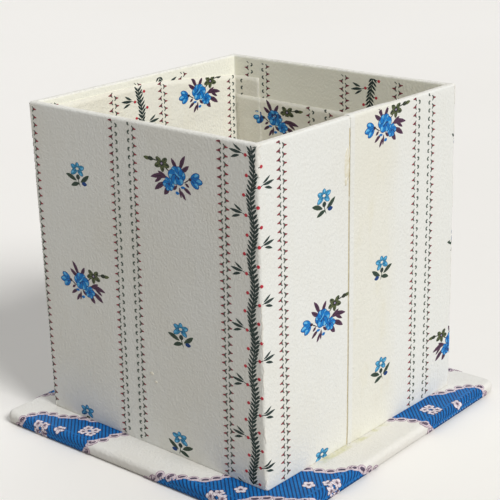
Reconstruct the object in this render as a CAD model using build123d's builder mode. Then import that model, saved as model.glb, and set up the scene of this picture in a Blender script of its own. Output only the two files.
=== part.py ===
"""A square keepsake box of board covered with pasted paper, glued to a covered base plate."""
import os

from build123d import *

# Driving dimensions of the box, in millimetres
box_side = 80.0
box_height = 88.0
wall_board = 1.6
floor_thickness = 1.6
floor_play = 0.1
paper = 0.2
corner_round = 0.8
rim_round = 0.7

# The cover sheet: how deep it turns in and under, and where its two ends lap
rim_turn_in = 16.0
foot_turn_under = 12.0
lap_width = 16.0
lap_start = -6.0
lap_lean = 1.8
fold_slit = 0.2

# The linings: how far their hand-cut top edges stay below the rim
side_lining_drop = 2.1
side_lining_drop_back = 5.8
side_lining_level_run = 41.0
side_lining_flange = 10.0
end_lining_drop_left = 11.6
end_lining_drop_right = 12.4
lining_play = 0.1

# The base plate
plate_overhang = 10.0
plate_thickness = 2.8
plate_corner = 3.0
plate_edge_top = 1.4
plate_edge_under = 0.8
plate_turn = 1.5
plate_turn_under = 15.0
backing_margin = 3.0

# Levels, from the surface that the plate stands on
plate_board_low = 2 * paper
plate_board_high = plate_board_low + plate_thickness
foot = plate_board_high + paper
board_foot = foot + paper
floor_level = board_foot + floor_thickness
rim = foot + box_height
board_rim = rim - paper
turn_in_end = rim - rim_turn_in

# Widths, measured across the box from face to face
board_side = box_side - 2 * paper
inner_side = board_side - 2 * wall_board
half_inner = inner_side / 2
plate_side = box_side + 2 * plate_overhang
plate_opening = plate_side - 2 * plate_turn_under
plate_plane = Plane.XY.rotated((0, 0, plate_turn))


def sheet_section(face, low, high, step_at):
    """A pasted sheet's section on a wall: flat on the face up to step_at, then one paper further in."""
    with BuildSketch() as section:
        with BuildLine():
            Polyline(
                (face, low),
                (face - paper, low),
                (face - paper, step_at - paper),
                (face - 2 * paper, step_at - paper),
                (face - 2 * paper, high),
                (face - paper, high),
                (face - paper, step_at),
                (face, step_at),
                close=True,
            )
        make_face()
    return section.sketch


# The walls' boards make one ring, with corners and rim softened by the pasting
with BuildPart() as wall_ring:
    with BuildSketch(Plane.XY.offset(board_foot)):
        RectangleRounded(board_side, board_side, corner_round - paper)
        Rectangle(inner_side, inner_side, mode=Mode.SUBTRACT)
    extrude(amount=board_rim - board_foot)
    fillet(wall_ring.edges().group_by(Axis.Z)[-1], rim_round - paper)

# Front and back boards run the full width, and the side boards stand between them
wall_middle = (inner_side + wall_board) / 2
wall_zones = {
    "front": ((0, -wall_middle), (board_side, wall_board)),
    "back": ((0, wall_middle), (board_side, wall_board)),
    "left": ((-wall_middle, 0), (wall_board, inner_side)),
    "right": ((wall_middle, 0), (wall_board, inner_side)),
}
walls = []
for wall_name, (centre, zone) in wall_zones.items():
    with BuildPart() as wall:
        add(wall_ring.part)
        with BuildSketch(Plane.XY.offset(board_foot)):
            with Locations(centre):
                Rectangle(*zone)
        extrude(amount=box_height, mode=Mode.INTERSECT)
    wall.part.label = f"wall_board_{wall_name}"
    walls.append(wall)

# The floor board drops in between the walls, level with their feet
with BuildPart() as floor_board:
    with BuildSketch(Plane.XY.offset(board_foot)):
        Rectangle(inner_side - 2 * floor_play, inner_side - 2 * floor_play)
    extrude(amount=floor_thickness)
floor_board.part.label = "floor_board"

# The printed cover: round the walls, over the rim, down inside, and under the foot
with BuildPart() as outer_cover:
    with BuildSketch(Plane.XY.offset(foot)):
        RectangleRounded(box_side, box_side, corner_round)
        Rectangle(inner_side - 2 * paper, inner_side - 2 * paper, mode=Mode.SUBTRACT)
    extrude(amount=box_height)
    fillet(outer_cover.edges().group_by(Axis.Z)[-1], rim_round)
    add(wall_ring.part, mode=Mode.SUBTRACT)
    # Below the turned-in edge the inner faces are bare board
    with BuildSketch(Plane.XY.offset(foot)):
        Rectangle(inner_side, inner_side)
    extrude(amount=turn_in_end - foot, mode=Mode.SUBTRACT)
    # The sheet's lower edge lies under the floor as a frame
    with BuildSketch(Plane.XY.offset(foot)):
        RectangleRounded(box_side, box_side, corner_round)
        under_opening = box_side - 2 * foot_turn_under
        Rectangle(under_opening, under_opening, mode=Mode.SUBTRACT)
    extrude(amount=paper)
    # The flaps are cut at every corner, so that they fold flat
    with BuildSketch(Plane.XY.offset(foot)):
        with PolarLocations(0, 4, start_angle=45):
            with Locations((box_side / 2, 0)):
                Rectangle(box_side, fold_slit)
        Rectangle(inner_side, inner_side, mode=Mode.INTERSECT)
    extrude(amount=paper, mode=Mode.SUBTRACT)
    with BuildSketch(Plane.XY.offset(turn_in_end)):
        with PolarLocations(0, 4, start_angle=45):
            with Locations((box_side / 2, 0)):
                Rectangle(box_side, fold_slit)
        Rectangle(box_side - 2 * corner_round, box_side - 2 * corner_round, mode=Mode.INTERSECT)
    extrude(amount=rim_turn_in, mode=Mode.SUBTRACT)

# Where the sheet's ends lap on the right face the upper end lies one paper proud
with BuildPart() as cover_lap:
    face_x = box_side / 2
    rim_middle = face_x - paper - wall_board / 2
    bend = rim - rim_round
    bend_x = face_x - rim_round
    with BuildSketch(Plane.XZ.offset(-(lap_start + lap_width))):
        with BuildLine():
            Polyline((rim_middle, rim + paper), (rim_middle, rim), (bend_x, rim))
            RadiusArc((bend_x, rim), (face_x, bend), rim_round)
            Polyline((face_x, bend), (face_x, foot), (face_x + paper, foot), (face_x + paper, bend))
            RadiusArc((face_x + paper, bend), (bend_x, rim + paper), -(rim_round + paper))
            Line((bend_x, rim + paper), (rim_middle, rim + paper))
        make_face()
    extrude(amount=lap_width + lap_lean)
    # The upper end's cut edge leans, because the sheet was pasted a little askew
    with BuildSketch(Plane.YZ.offset(rim_middle)):
        with BuildLine():
            Polyline(
                (lap_start, rim + paper),
                (lap_start - lap_lean, foot),
                (lap_start + lap_width, foot),
                (lap_start + lap_width, rim + paper),
                close=True,
            )
        make_face()
    extrude(amount=box_side, mode=Mode.INTERSECT)
with outer_cover:
    add(cover_lap.part)
outer_cover.part.label = "outer_cover"

# Side linings wrap both neighbouring corners with a flange, under the end linings
with BuildPart() as lining_left:
    with BuildLine() as lining_path:
        Polyline(
            (side_lining_flange - half_inner, -half_inner, 0),
            (-half_inner, -half_inner, 0),
            (-half_inner, half_inner, 0),
            (side_lining_flange - half_inner, half_inner, 0),
        )
    start = Plane((side_lining_flange - half_inner, 0, 0), x_dir=(0, -1, 0), z_dir=(-1, 0, 0))
    with BuildSketch(start):
        add(sheet_section(half_inner, floor_level, rim, turn_in_end))
    sweep(path=lining_path.wires()[0], transition=Transition.RIGHT)
    # The top edge is level at first and then drops towards the back corner
    with BuildSketch(Plane.YZ.offset(-half_inner)):
        with BuildLine():
            Polyline(
                (-half_inner, floor_level),
                (-half_inner, rim - side_lining_drop),
                (side_lining_level_run - half_inner, rim - side_lining_drop),
                (half_inner, rim - side_lining_drop_back),
                (half_inner, floor_level),
                close=True,
            )
        make_face()
    extrude(amount=side_lining_flange, mode=Mode.INTERSECT)
lining_left.part.label = "lining_left"

with BuildPart() as lining_right:
    mirror(lining_left.part, about=Plane.YZ)
lining_right.part.label = "lining_right"

# End linings span the width, and step over the side linings' flanges
span = half_inner - 2 * paper - lining_play
flange_edge = half_inner - side_lining_flange
flange_run = span - flange_edge + paper
end_lining_runs = (
    (-span, flange_run, half_inner - paper, turn_in_end - paper),
    (-flange_edge, 2 * flange_edge, half_inner, turn_in_end),
    (flange_edge - paper, flange_run, half_inner - paper, turn_in_end - paper),
)
with BuildPart() as lining_back:
    for start_x, run, face, step_at in end_lining_runs:
        with BuildSketch(Plane.YZ.offset(start_x)):
            add(sheet_section(face, floor_level, rim, step_at))
        extrude(amount=run)
    with BuildSketch(Plane.XZ.offset(-half_inner)):
        with BuildLine():
            Polyline(
                (-half_inner, floor_level),
                (-half_inner, rim - end_lining_drop_left),
                (half_inner, rim - end_lining_drop_right),
                (half_inner, floor_level),
                close=True,
            )
        make_face()
    extrude(amount=wall_board, mode=Mode.INTERSECT)
lining_back.part.label = "lining_back"

with BuildPart() as lining_front:
    mirror(lining_back.part, about=Plane.XZ)
lining_front.part.label = "lining_front"

# The floor paper lies inside the wall linings, with a little play all round
floor_paper = inner_side - 4 * paper - 2 * lining_play
with BuildPart() as floor_lining:
    with BuildSketch(Plane.XY.offset(floor_level)):
        Rectangle(floor_paper, floor_paper)
    extrude(amount=paper)
floor_lining.part.label = "floor_lining"

# The base plate's board, with the soft edges of a pressed board
with BuildPart() as plate_board:
    with BuildSketch(plate_plane.offset(plate_board_low)):
        RectangleRounded(plate_side - 2 * paper, plate_side - 2 * paper, plate_corner - paper)
    extrude(amount=plate_thickness)
    fillet(plate_board.edges().group_by(Axis.Z)[-1], plate_edge_top - paper)
    fillet(plate_board.edges().group_by(Axis.Z)[0], plate_edge_under - paper)
plate_board.part.label = "plate_board"

# The ribbon paper over the plate, its edges turned under and mitred
with BuildPart() as plate_cover:
    with BuildSketch(plate_plane.offset(plate_board_low - paper)):
        RectangleRounded(plate_side, plate_side, plate_corner)
    extrude(amount=plate_thickness + 2 * paper)
    fillet(plate_cover.edges().group_by(Axis.Z)[-1], plate_edge_top)
    fillet(plate_cover.edges().group_by(Axis.Z)[0], plate_edge_under)
    add(plate_board.part, mode=Mode.SUBTRACT)
    with BuildSketch(plate_plane.offset(plate_board_low - paper)):
        Rectangle(plate_opening, plate_opening)
        with PolarLocations(0, 4, start_angle=45):
            with Locations((plate_side / 2, 0)):
                Rectangle(plate_side, fold_slit)
        inside_edge = plate_side - 2 * plate_corner
        Rectangle(inside_edge, inside_edge, mode=Mode.INTERSECT)
    extrude(amount=paper, mode=Mode.SUBTRACT)
plate_cover.part.label = "plate_cover"

# The backing paper covers the turned edges and steps up to the board between them
with BuildPart() as plate_backing:
    backing_side = plate_side - 2 * backing_margin
    with BuildSketch(plate_plane):
        Rectangle(backing_side, backing_side)
        Rectangle(plate_opening - 2 * paper, plate_opening - 2 * paper, mode=Mode.SUBTRACT)
    extrude(amount=paper)
    with BuildSketch(plate_plane.offset(paper)):
        Rectangle(plate_opening, plate_opening)
    extrude(amount=paper)
plate_backing.part.label = "plate_backing"

os.makedirs("parts", exist_ok=True)
papers = [outer_cover, lining_left, lining_right, lining_front, lining_back, floor_lining]
plate = [plate_board, plate_cover, plate_backing]
for piece in walls + [floor_board] + papers + plate:
    export_step(piece.part, f"parts/{piece.part.label}.step")
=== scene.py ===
"""Keepsake box of covered board on its foot plate, dressed in printed paper.

The box is four board walls and a floor under one pasted sheet, with lining sheets inside and a
square foot plate below. Every sheet is a thin closed shell worked out on a grid, and every printed
mark is a shape of its own that lies on its sheet. Sizes are millimetres until a mesh is made.
"""

import logging
import math
from dataclasses import dataclass, field, replace
from enum import Enum
from functools import partial
from typing import Any, Callable, Optional, Sequence, Union

import bmesh
import bpy
import numpy as np
from mathutils import Matrix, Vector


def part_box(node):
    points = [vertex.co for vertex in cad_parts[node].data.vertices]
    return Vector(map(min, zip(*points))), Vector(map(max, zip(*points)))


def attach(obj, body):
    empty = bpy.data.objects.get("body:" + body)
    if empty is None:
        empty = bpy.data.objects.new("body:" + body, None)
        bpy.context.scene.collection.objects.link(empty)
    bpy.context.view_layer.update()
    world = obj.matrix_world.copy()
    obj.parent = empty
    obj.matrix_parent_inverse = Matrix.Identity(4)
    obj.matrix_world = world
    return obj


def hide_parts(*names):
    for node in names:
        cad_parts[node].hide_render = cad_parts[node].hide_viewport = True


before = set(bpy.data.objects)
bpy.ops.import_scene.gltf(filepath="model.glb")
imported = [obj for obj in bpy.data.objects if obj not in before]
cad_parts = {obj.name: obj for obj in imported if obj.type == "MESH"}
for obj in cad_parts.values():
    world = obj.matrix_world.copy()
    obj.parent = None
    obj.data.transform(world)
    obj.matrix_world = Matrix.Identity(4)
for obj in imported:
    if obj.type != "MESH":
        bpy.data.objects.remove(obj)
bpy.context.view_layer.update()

log = logging.getLogger("keepsake_box")
MM = 0.001
# Shells have this share of a paper's thickness, so that sheets that lie face to face stay apart.
SHELL_SHARE = 0.85
# Points of one piece nearer than the first are one point, and edges under the second go, in metres.
WELD, SHORTEST_EDGE = 2e-7, 1e-7
Array = np.ndarray
Place = Callable[[Array, Array, Any], Array]
Edge = Union[float, Callable[[Array], Array]]
Mesh = tuple[Array, Array]


class Ink(Enum):
    """The colours of the print, each with its two tints from 0 to 255 and how dull it is."""

    BLUE = ((0, 104, 184), (4, 130, 208), 0.62)
    BLUE_PALE = ((72, 166, 224), (120, 198, 238), 0.62)
    BLUE_DEEP = ((6, 50, 110), (10, 68, 134), 0.60)
    PURPLE = ((66, 38, 62), (86, 52, 80), 0.66)
    PURPLE_DEEP = ((36, 20, 38), (50, 30, 50), 0.66)
    OLIVE = ((76, 86, 52), (98, 106, 70), 0.68)
    OLIVE_DEEP = ((30, 38, 30), (44, 52, 38), 0.68)
    TEAL = ((44, 128, 172), (72, 156, 194), 0.64)
    TEAL_DEEP = ((16, 70, 116), (26, 88, 134), 0.64)
    LEAF = ((40, 58, 46), (58, 76, 60), 0.68)
    VINE = ((28, 44, 42), (42, 60, 56), 0.68)
    MAROON = ((98, 36, 50), (122, 52, 62), 0.66)
    RED = ((176, 36, 54), (200, 62, 74), 0.60)
    SAGE = ((70, 80, 74), (96, 106, 96), 0.70)
    WINE = ((132, 42, 54), (156, 66, 74), 0.66)
    # Old glue and a painted shadow: the tan line beside the overlap's free edge.
    SEAM = ((184, 170, 132), (204, 192, 158), 0.60)
    CREAM = ((232, 226, 206), (244, 240, 226), 0.72)
    LILAC = ((166, 146, 186), (184, 168, 202), 0.68)
    RIBBON = ((6, 100, 174), (16, 118, 192), 0.66)
    RIB_DEEP = ((4, 48, 94), (8, 60, 112), 0.68)
    LACE = ((208, 192, 200), (224, 212, 218), 0.72)
    LACE_SHADE = ((150, 128, 144), (172, 150, 164), 0.70)
    LOOP = ((74, 62, 84), (98, 84, 104), 0.68)
    PETAL = ((224, 214, 222), (238, 230, 236), 0.72)

    @property
    def number(self) -> int:
        """The ink's place in the list of inks."""
        return list(Ink).index(self)


class Wall(Enum):
    """The four walls as (outward normal, direction to the right seen from outside), by plan axes."""

    FRONT = ((0.0, -1.0), (1.0, 0.0))
    RIGHT = ((1.0, 0.0), (0.0, 1.0))
    BACK = ((0.0, 1.0), (-1.0, 0.0))
    LEFT = ((-1.0, 0.0), (0.0, -1.0))


OUTSIDE_ORDER = (Wall.FRONT, Wall.RIGHT, Wall.BACK, Wall.LEFT)
INSIDE_ORDER = (Wall.LEFT, Wall.BACK, Wall.RIGHT, Wall.FRONT)


def smooth_step(value: Array, low: float, high: float) -> Array:
    """Rises from 0 at low to 1 at high as 3t^2 - 2t^3."""
    t = np.clip((np.asarray(value, float) - low) / (high - low), 0.0, 1.0)
    return t * t * (3.0 - 2.0 * t)


def plateau(value: Array, rise: Sequence[float], fall: Sequence[float]) -> Array:
    """1 from the end of rise to the start of fall and 0 beyond them, with a smooth step over each."""
    return smooth_step(value, *rise) - smooth_step(value, *fall)


def ripple(where: Array, wavelength: float, seed: int, terms: int = 5) -> Array:
    """A smooth wandering line: a sum of sines whose wavelengths fall by 0.62 and heights by 0.7.

    Args:
        where: distances along the line.
        wavelength: the longest wave.
        seed: picks the phases.
        terms: how many sines are added.

    Returns:
        Heights between about -1 and 1.
    """
    phases = np.random.default_rng(seed).uniform(0.0, 2.0 * math.pi, terms)
    steps = np.arange(terms)
    lengths = wavelength * 0.62**steps
    heights = 0.7**steps
    waves = np.sin(np.multiply.outer(np.asarray(where, float), 2.0 * math.pi / lengths) + phases)
    return waves @ heights / heights.sum()


@dataclass(frozen=True)
class Swell:
    """The slow waves of a sheet that was pasted on by hand, as plane waves through space."""

    height: float = 0.09
    waves: int = 7
    shortest: float = 15.0
    longest: float = 62.0
    seed: int = 11

    def at(self, points: Array) -> Array:
        """The mean of plane sine waves through the points, moved up so that it is never negative.

        Args:
            points: positions in millimetres, with x, y, z last.

        Returns:
            Heights from 0 to about twice self.height.
        """
        draw = np.random.default_rng(self.seed)
        lengths = np.geomspace(self.shortest, self.longest, self.waves)
        heading = draw.normal(size=(self.waves, 3))
        heading /= np.linalg.norm(heading, axis=1, keepdims=True)
        phase = draw.uniform(0.0, 2.0 * math.pi, self.waves)
        weight = lengths / lengths.sum()
        waves = np.sin(points @ (heading * (2.0 * math.pi / lengths)[:, None]).T + phase)
        return self.height * (1.0 + waves @ weight)


@dataclass
class FoldPath:
    """The section of a folded sheet: straight runs in the (depth, height) plane with round folds."""

    points: Sequence[tuple[float, float]]
    radii: Sequence[float]
    fold_steps: int = 9
    arc: Array = field(init=False)
    depth: Array = field(init=False)
    height: Array = field(init=False)
    normal: Array = field(init=False)

    def __post_init__(self) -> None:
        """Lays the runs and folds end to end and sums their length."""
        corners = np.asarray(self.points, float)
        runs = np.diff(corners, axis=0)
        heads = runs / np.linalg.norm(runs, axis=1, keepdims=True)
        pieces, normals = [corners[:1]], [self._left(heads[:1])]
        for i, radius in enumerate(self.radii):
            before, after = heads[i], heads[i + 1]
            turn = math.atan2(before[0] * after[1] - before[1] * after[0], float(before @ after))
            side = -1.0 if turn < 0 else 1.0
            cut = radius * math.tan(abs(turn) / 2.0)
            start = corners[i + 1] - before * cut
            centre = start + side * radius * self._left(before)
            angle = np.linspace(0.0, turn, self.fold_steps)
            spoke = -side * self._left(before)
            c, s = np.cos(angle)[:, None], np.sin(angle)[:, None]
            spokes = c * spoke + s * self._left(spoke)
            pieces.append(centre + radius * spokes)
            normals.append(-side * spokes)
        pieces.append(corners[-1:])
        normals.append(self._left(heads[-1:]))
        line = np.concatenate(pieces)
        self.normal = np.concatenate(normals)
        self.arc = np.concatenate([[0.0], np.cumsum(np.linalg.norm(np.diff(line, axis=0), axis=1))])
        self.depth, self.height = line[:, 0], line[:, 1]

    @staticmethod
    def _left(vectors: Array) -> Array:
        """The vectors turned a quarter to the left."""
        return np.stack([-vectors[..., 1], vectors[..., 0]], axis=-1)

    def arc_at(self, run: int, share: float = 0.5) -> float:
        """The arc length at a share of the way along the given straight run."""
        first = 0 if run == 0 else run * self.fold_steps
        return float(self.arc[first] + share * (self.arc[first + 1] - self.arc[first]))

    def at(self, arc: Array, lift: Any) -> tuple[Array, Array]:
        """Depth and height of the path at each arc length, moved along its normal by lift.

        Args:
            arc: distances along the sheet.
            lift: how far off the path.

        Returns:
            The depths and the heights.
        """
        n_depth = np.interp(arc, self.arc, self.normal[:, 0])
        n_height = np.interp(arc, self.arc, self.normal[:, 1])
        depth = np.interp(arc, self.arc, self.depth) + n_depth * lift
        height = np.interp(arc, self.arc, self.height) + n_height * lift
        return depth, height


def square_ring(along: Array, depth: Array, half: float, corner: float, order: Sequence[Wall],
                inside: bool) -> tuple[Array, Array]:
    """Plan of a rounded square, by the nominal distance round the sharp square of the same half.

    On a wall the point lies half - depth out from the middle. Within the corner radius of a wall's
    end it turns on the arc about the corner's centre, and deeper than the radius it stops at the
    mitre line.

    Args:
        along: nominal distances round the square, from the first wall's left end.
        depth: how far in from the square.
        half, corner: half of the square's side, and the radius of its corners.
        order: the walls in the order in which along meets them.
        inside: whether right and left are those seen from inside the box.

    Returns:
        x and y.
    """
    side = 2.0 * half
    turns = np.floor(along / side)
    wall = turns.astype(int) % 4
    a = along - turns * side - half
    a = -a if inside else a
    straight = half - corner
    size = np.abs(a)
    phi = np.clip((size - straight) / corner, 0.0, 1.0) * (math.pi / 4.0)
    radius = np.maximum(corner - depth, 0.0)
    shallow = depth < corner
    out = np.where(shallow, straight + radius * np.cos(phi), half - depth)
    run = np.minimum(np.minimum(size, straight) + radius * np.sin(phi), np.where(shallow, half, half - depth))
    run = np.sign(a) * run
    normals = np.array([w.value[0] for w in order])[wall]
    rights = np.array([w.value[1] for w in order])[wall]
    x = normals[..., 0] * out + rights[..., 0] * run
    y = normals[..., 1] * out + rights[..., 1] * run
    return x, y


@dataclass
class BoxSizes:
    """The box's own sizes, read from the boxes of the nodes that carry them."""

    turn_in: float = 16.0
    plate_turn: float = math.radians(1.5)
    half: float = field(init=False)
    foot: float = field(init=False)
    rim: float = field(init=False)
    sheet: float = field(init=False)
    wall: float = field(init=False)
    inner_half: float = field(init=False)
    floor: float = field(init=False)
    turn_in_end: float = field(init=False)
    plate_half: float = field(init=False)
    plate_low: float = field(init=False)

    def __post_init__(self) -> None:
        """Measures the nodes."""
        cover, board, floor = (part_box(n) for n in ("outer_cover", "wall_board_front", "floor_board"))
        left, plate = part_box("wall_board_left"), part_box("plate_cover")
        self.half = -cover[0].y / MM
        self.foot = cover[0].z / MM
        self.sheet = (board[0].y - cover[0].y) / MM
        self.rim = board[1].z / MM + self.sheet
        self.wall = (board[1].y - board[0].y) / MM + 2.0 * self.sheet
        self.inner_half = -left[1].x / MM
        self.floor = floor[1].z / MM
        self.turn_in_end = self.rim - self.turn_in
        self.plate_low = plate[0].z / MM
        corner = PlateSheet.corner
        bend = math.cos(self.plate_turn) + math.sin(self.plate_turn)
        self.plate_half = (plate[1].x / MM - corner) / bend + corner


@dataclass
class CoverSheet:
    """The one printed sheet round the outside of the box, over its rim and under its foot.

    Its place is (u, y): u is the distance to the right round the outside from the left corner of
    the front wall, and y the distance down the sheet from the rim, so y under 0 is on the rim and
    down the inside.
    """

    box: BoxSizes
    corner: float = 0.8
    rim_fold: float = 0.5
    foot_fold: float = 0.45
    turn_under: float = 12.0
    seam_from_corner: float = 34.0
    seam_lean: float = 1.8
    lap: float = 16.0
    lap_fade: tuple[float, float] = (-2.2, 3.4)
    foot_grip: tuple[float, float] = (0.5, 4.0)
    lining_grip: tuple[float, float] = (-1.0, 2.0)
    corner_rise: float = 0.05
    corner_reach: float = 1.1
    swell: Swell = Swell()
    path: FoldPath = field(init=False)
    rim_arc: float = field(init=False)

    def __post_init__(self) -> None:
        """Draws the section of the fold and finds the rim on it."""
        b = self.box
        outside = ((self.turn_under, b.foot), (0.0, b.foot), (0.0, b.rim))
        inside = ((b.wall, b.rim), (b.wall, b.turn_in_end))
        self.path = FoldPath(outside + inside, (self.foot_fold, self.rim_fold, self.rim_fold))
        self.rim_arc = self.path.arc_at(1, 1.0) + self.rim_fold

    @property
    def drop(self) -> float:
        """How far down the sheet the foot is from the rim."""
        return self.box.rim - self.box.foot

    @property
    def inside_end(self) -> float:
        """Where the sheet ends inside, as a y of this sheet."""
        return self.rim_arc - float(self.path.arc[-1])

    def seam(self, y: Array, gap: float = 0.0) -> Array:
        """The u of the overlap's free edge at each y, or of a line that far to the right of it."""
        fall = np.clip(np.asarray(y, float) / self.drop, 0.0, 1.0)
        return 2.0 * self.box.half + self.seam_from_corner - self.seam_lean * fall + gap

    def place(self, u: Array, y: Array, lift: Any, lap: Any = 0.0) -> Array:
        """Carries sheet places to space: down the fold's section, then round the square plan.

        Print stands off a little more at the four corners, where it would otherwise cut the bend.

        Args:
            u, y: distances round, and down from the rim.
            lift: how far off the paper's face.
            lap: the share of one sheet by which the overlap raises the place.

        Returns:
            Points in millimetres, with x, y, z last.
        """
        arc = self.rim_arc - y
        flat = self._point(u, arc, 0.0)
        rise = self.swell.at(flat) * self._open(arc)
        side = 2.0 * self.box.half
        near = np.abs(np.mod(u + self.box.half, side) - self.box.half)
        corner_lift = self.corner_rise * np.exp(-((near / self.corner_reach) ** 2))
        bridge = np.where(np.asarray(lift) > 0.0, corner_lift, 0.0)
        return self._point(u, arc, lift + rise + bridge + lap * self.box.sheet)

    def on_lap(self, u: Array, y: Array, lift: Any) -> Array:
        """Place on the overlap, whose far end sinks back to one sheet over the last millimetres."""
        return self.place(u, y, lift, self.lap_share(u - self.seam(y)))

    def lap_share(self, run: Array) -> Array:
        """The share of a sheet by which the overlap stands up: 1, then a soft fall past the hidden edge."""
        start, end = (self.lap + past for past in self.lap_fade)
        return 1.0 - smooth_step(run, start, end)

    def _open(self, arc: Array) -> Array:
        """Where the sheet is free to swell: not under the foot, and not below the lining's top inside."""
        under = [self.turn_under + past for past in self.foot_grip]
        inner = [self.rim_arc + self.box.wall + past for past in self.lining_grip]
        return smooth_step(arc, *under) * (1.0 - smooth_step(arc, *inner))

    def _point(self, u: Array, arc: Array, lift: Any) -> Array:
        """The point on the folded sheet without its swell."""
        depth, height = self.path.at(arc, lift)
        x, y = square_ring(u, depth, self.box.half, self.corner, OUTSIDE_ORDER, False)
        return np.stack([x, y, height], axis=-1)


@dataclass
class LiningSheets:
    """The lining inside, whose place is (u, y).

    u runs to the right as seen from inside, from the corner between the front and left walls, and
    y runs down from the rim. The side linings turn round the corners onto the front and back walls
    by a flange, and the end linings lie over those flanges.
    """

    box: BoxSizes
    corner: float = 0.9
    flange: float = 10.0
    level_drop: float = 2.1
    back_drop: float = 5.8
    level_run: float = 41.0
    end_drop_left: float = 11.6
    end_drop_right: float = 12.4
    play: float = 0.1
    turn_in_step: tuple[float, float] = (-0.15, 0.5)
    flange_step: tuple[float, float] = (-0.1, 0.5)
    swell: Swell = Swell(height=0.05, seed=5)

    @property
    def side(self) -> float:
        """The width of the cavity between the boards."""
        return 2.0 * self.box.inner_half

    @property
    def bottom(self) -> float:
        """How far down the lining ends, on the floor's own lining."""
        return self.box.rim - self.box.floor - self.box.sheet

    def top_of_side(self, run: Array) -> Array:
        """How far down a side lining starts, by its distance from the front corner: level, then falling."""
        fall = np.clip((run - self.level_run) / (self.side - self.level_run), 0.0, 1.0)
        return self.level_drop + (self.back_drop - self.level_drop) * fall

    def top_of_end(self, x: Array) -> Array:
        """How far down an end lining starts: a straight slope from the left to the right."""
        share = np.clip((x + self.box.inner_half) / self.side, 0.0, 1.0)
        return self.end_drop_left + (self.end_drop_right - self.end_drop_left) * share

    def depth_of_side(self, y: Array) -> Array:
        """How deep a side lining's face is: its own sheet, and one more over the turned-in cover."""
        start, end = (self.box.rim - self.box.turn_in_end + past for past in self.turn_in_step)
        over = 1.0 - smooth_step(y, start, end)
        return self.box.sheet * (1.0 + over)

    def depth_of_end(self, u: Array, y: Array) -> Array:
        """How deep an end lining's face is: as the side lining, and one more over each flange."""
        q = np.mod(u, self.side)
        start, end = (self.flange + past for past in self.flange_step)
        over = 1.0 - smooth_step(np.minimum(q, self.side - q), start, end)
        return self.depth_of_side(y) + self.box.sheet * over

    def place(self, u: Array, y: Array, lift: Any, end: bool = False) -> Array:
        """Carries lining places to space: in from the board by the sheet's depth, swell and lift.

        Args:
            u, y: distances to the right, and down from the rim.
            lift: how far off the sheet's face.
            end: whether the sheet is an end lining.

        Returns:
            Points in millimetres, with x, y, z last.
        """
        depth = self.depth_of_end(u, y) if end else self.depth_of_side(y)
        flat = self._point(u, y, depth)
        return self._point(u, y, depth + self.swell.at(flat) + lift)

    def on_end(self, u: Array, y: Array, lift: Any) -> Array:
        """Place on an end lining."""
        return self.place(u, y, lift, True)

    def _point(self, u: Array, y: Array, depth: Array) -> Array:
        """The point at that depth in from the board."""
        px, py = square_ring(u, depth, self.box.inner_half, self.corner, INSIDE_ORDER, True)
        return np.stack([px, py, self.box.rim - y + 0.0 * px], axis=-1)


@dataclass
class FloorSheet:
    """The floor's lining: x to the right and y down the page, seen from above."""

    box: BoxSizes
    play: float = 0.1
    swell: Swell = Swell(height=0.05, seed=8)

    @property
    def half(self) -> float:
        """Half of the sheet's side."""
        return self.box.inner_half - 2.0 * self.box.sheet - self.play

    def place(self, x: Array, y: Array, lift: Any) -> Array:
        """Carries floor places to space: flat on the board, with the swell."""
        flat = np.stack([x, -y, np.full_like(x, self.box.floor + self.box.sheet)], axis=-1)
        flat[..., 2] += self.swell.at(flat) + lift
        return flat


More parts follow.
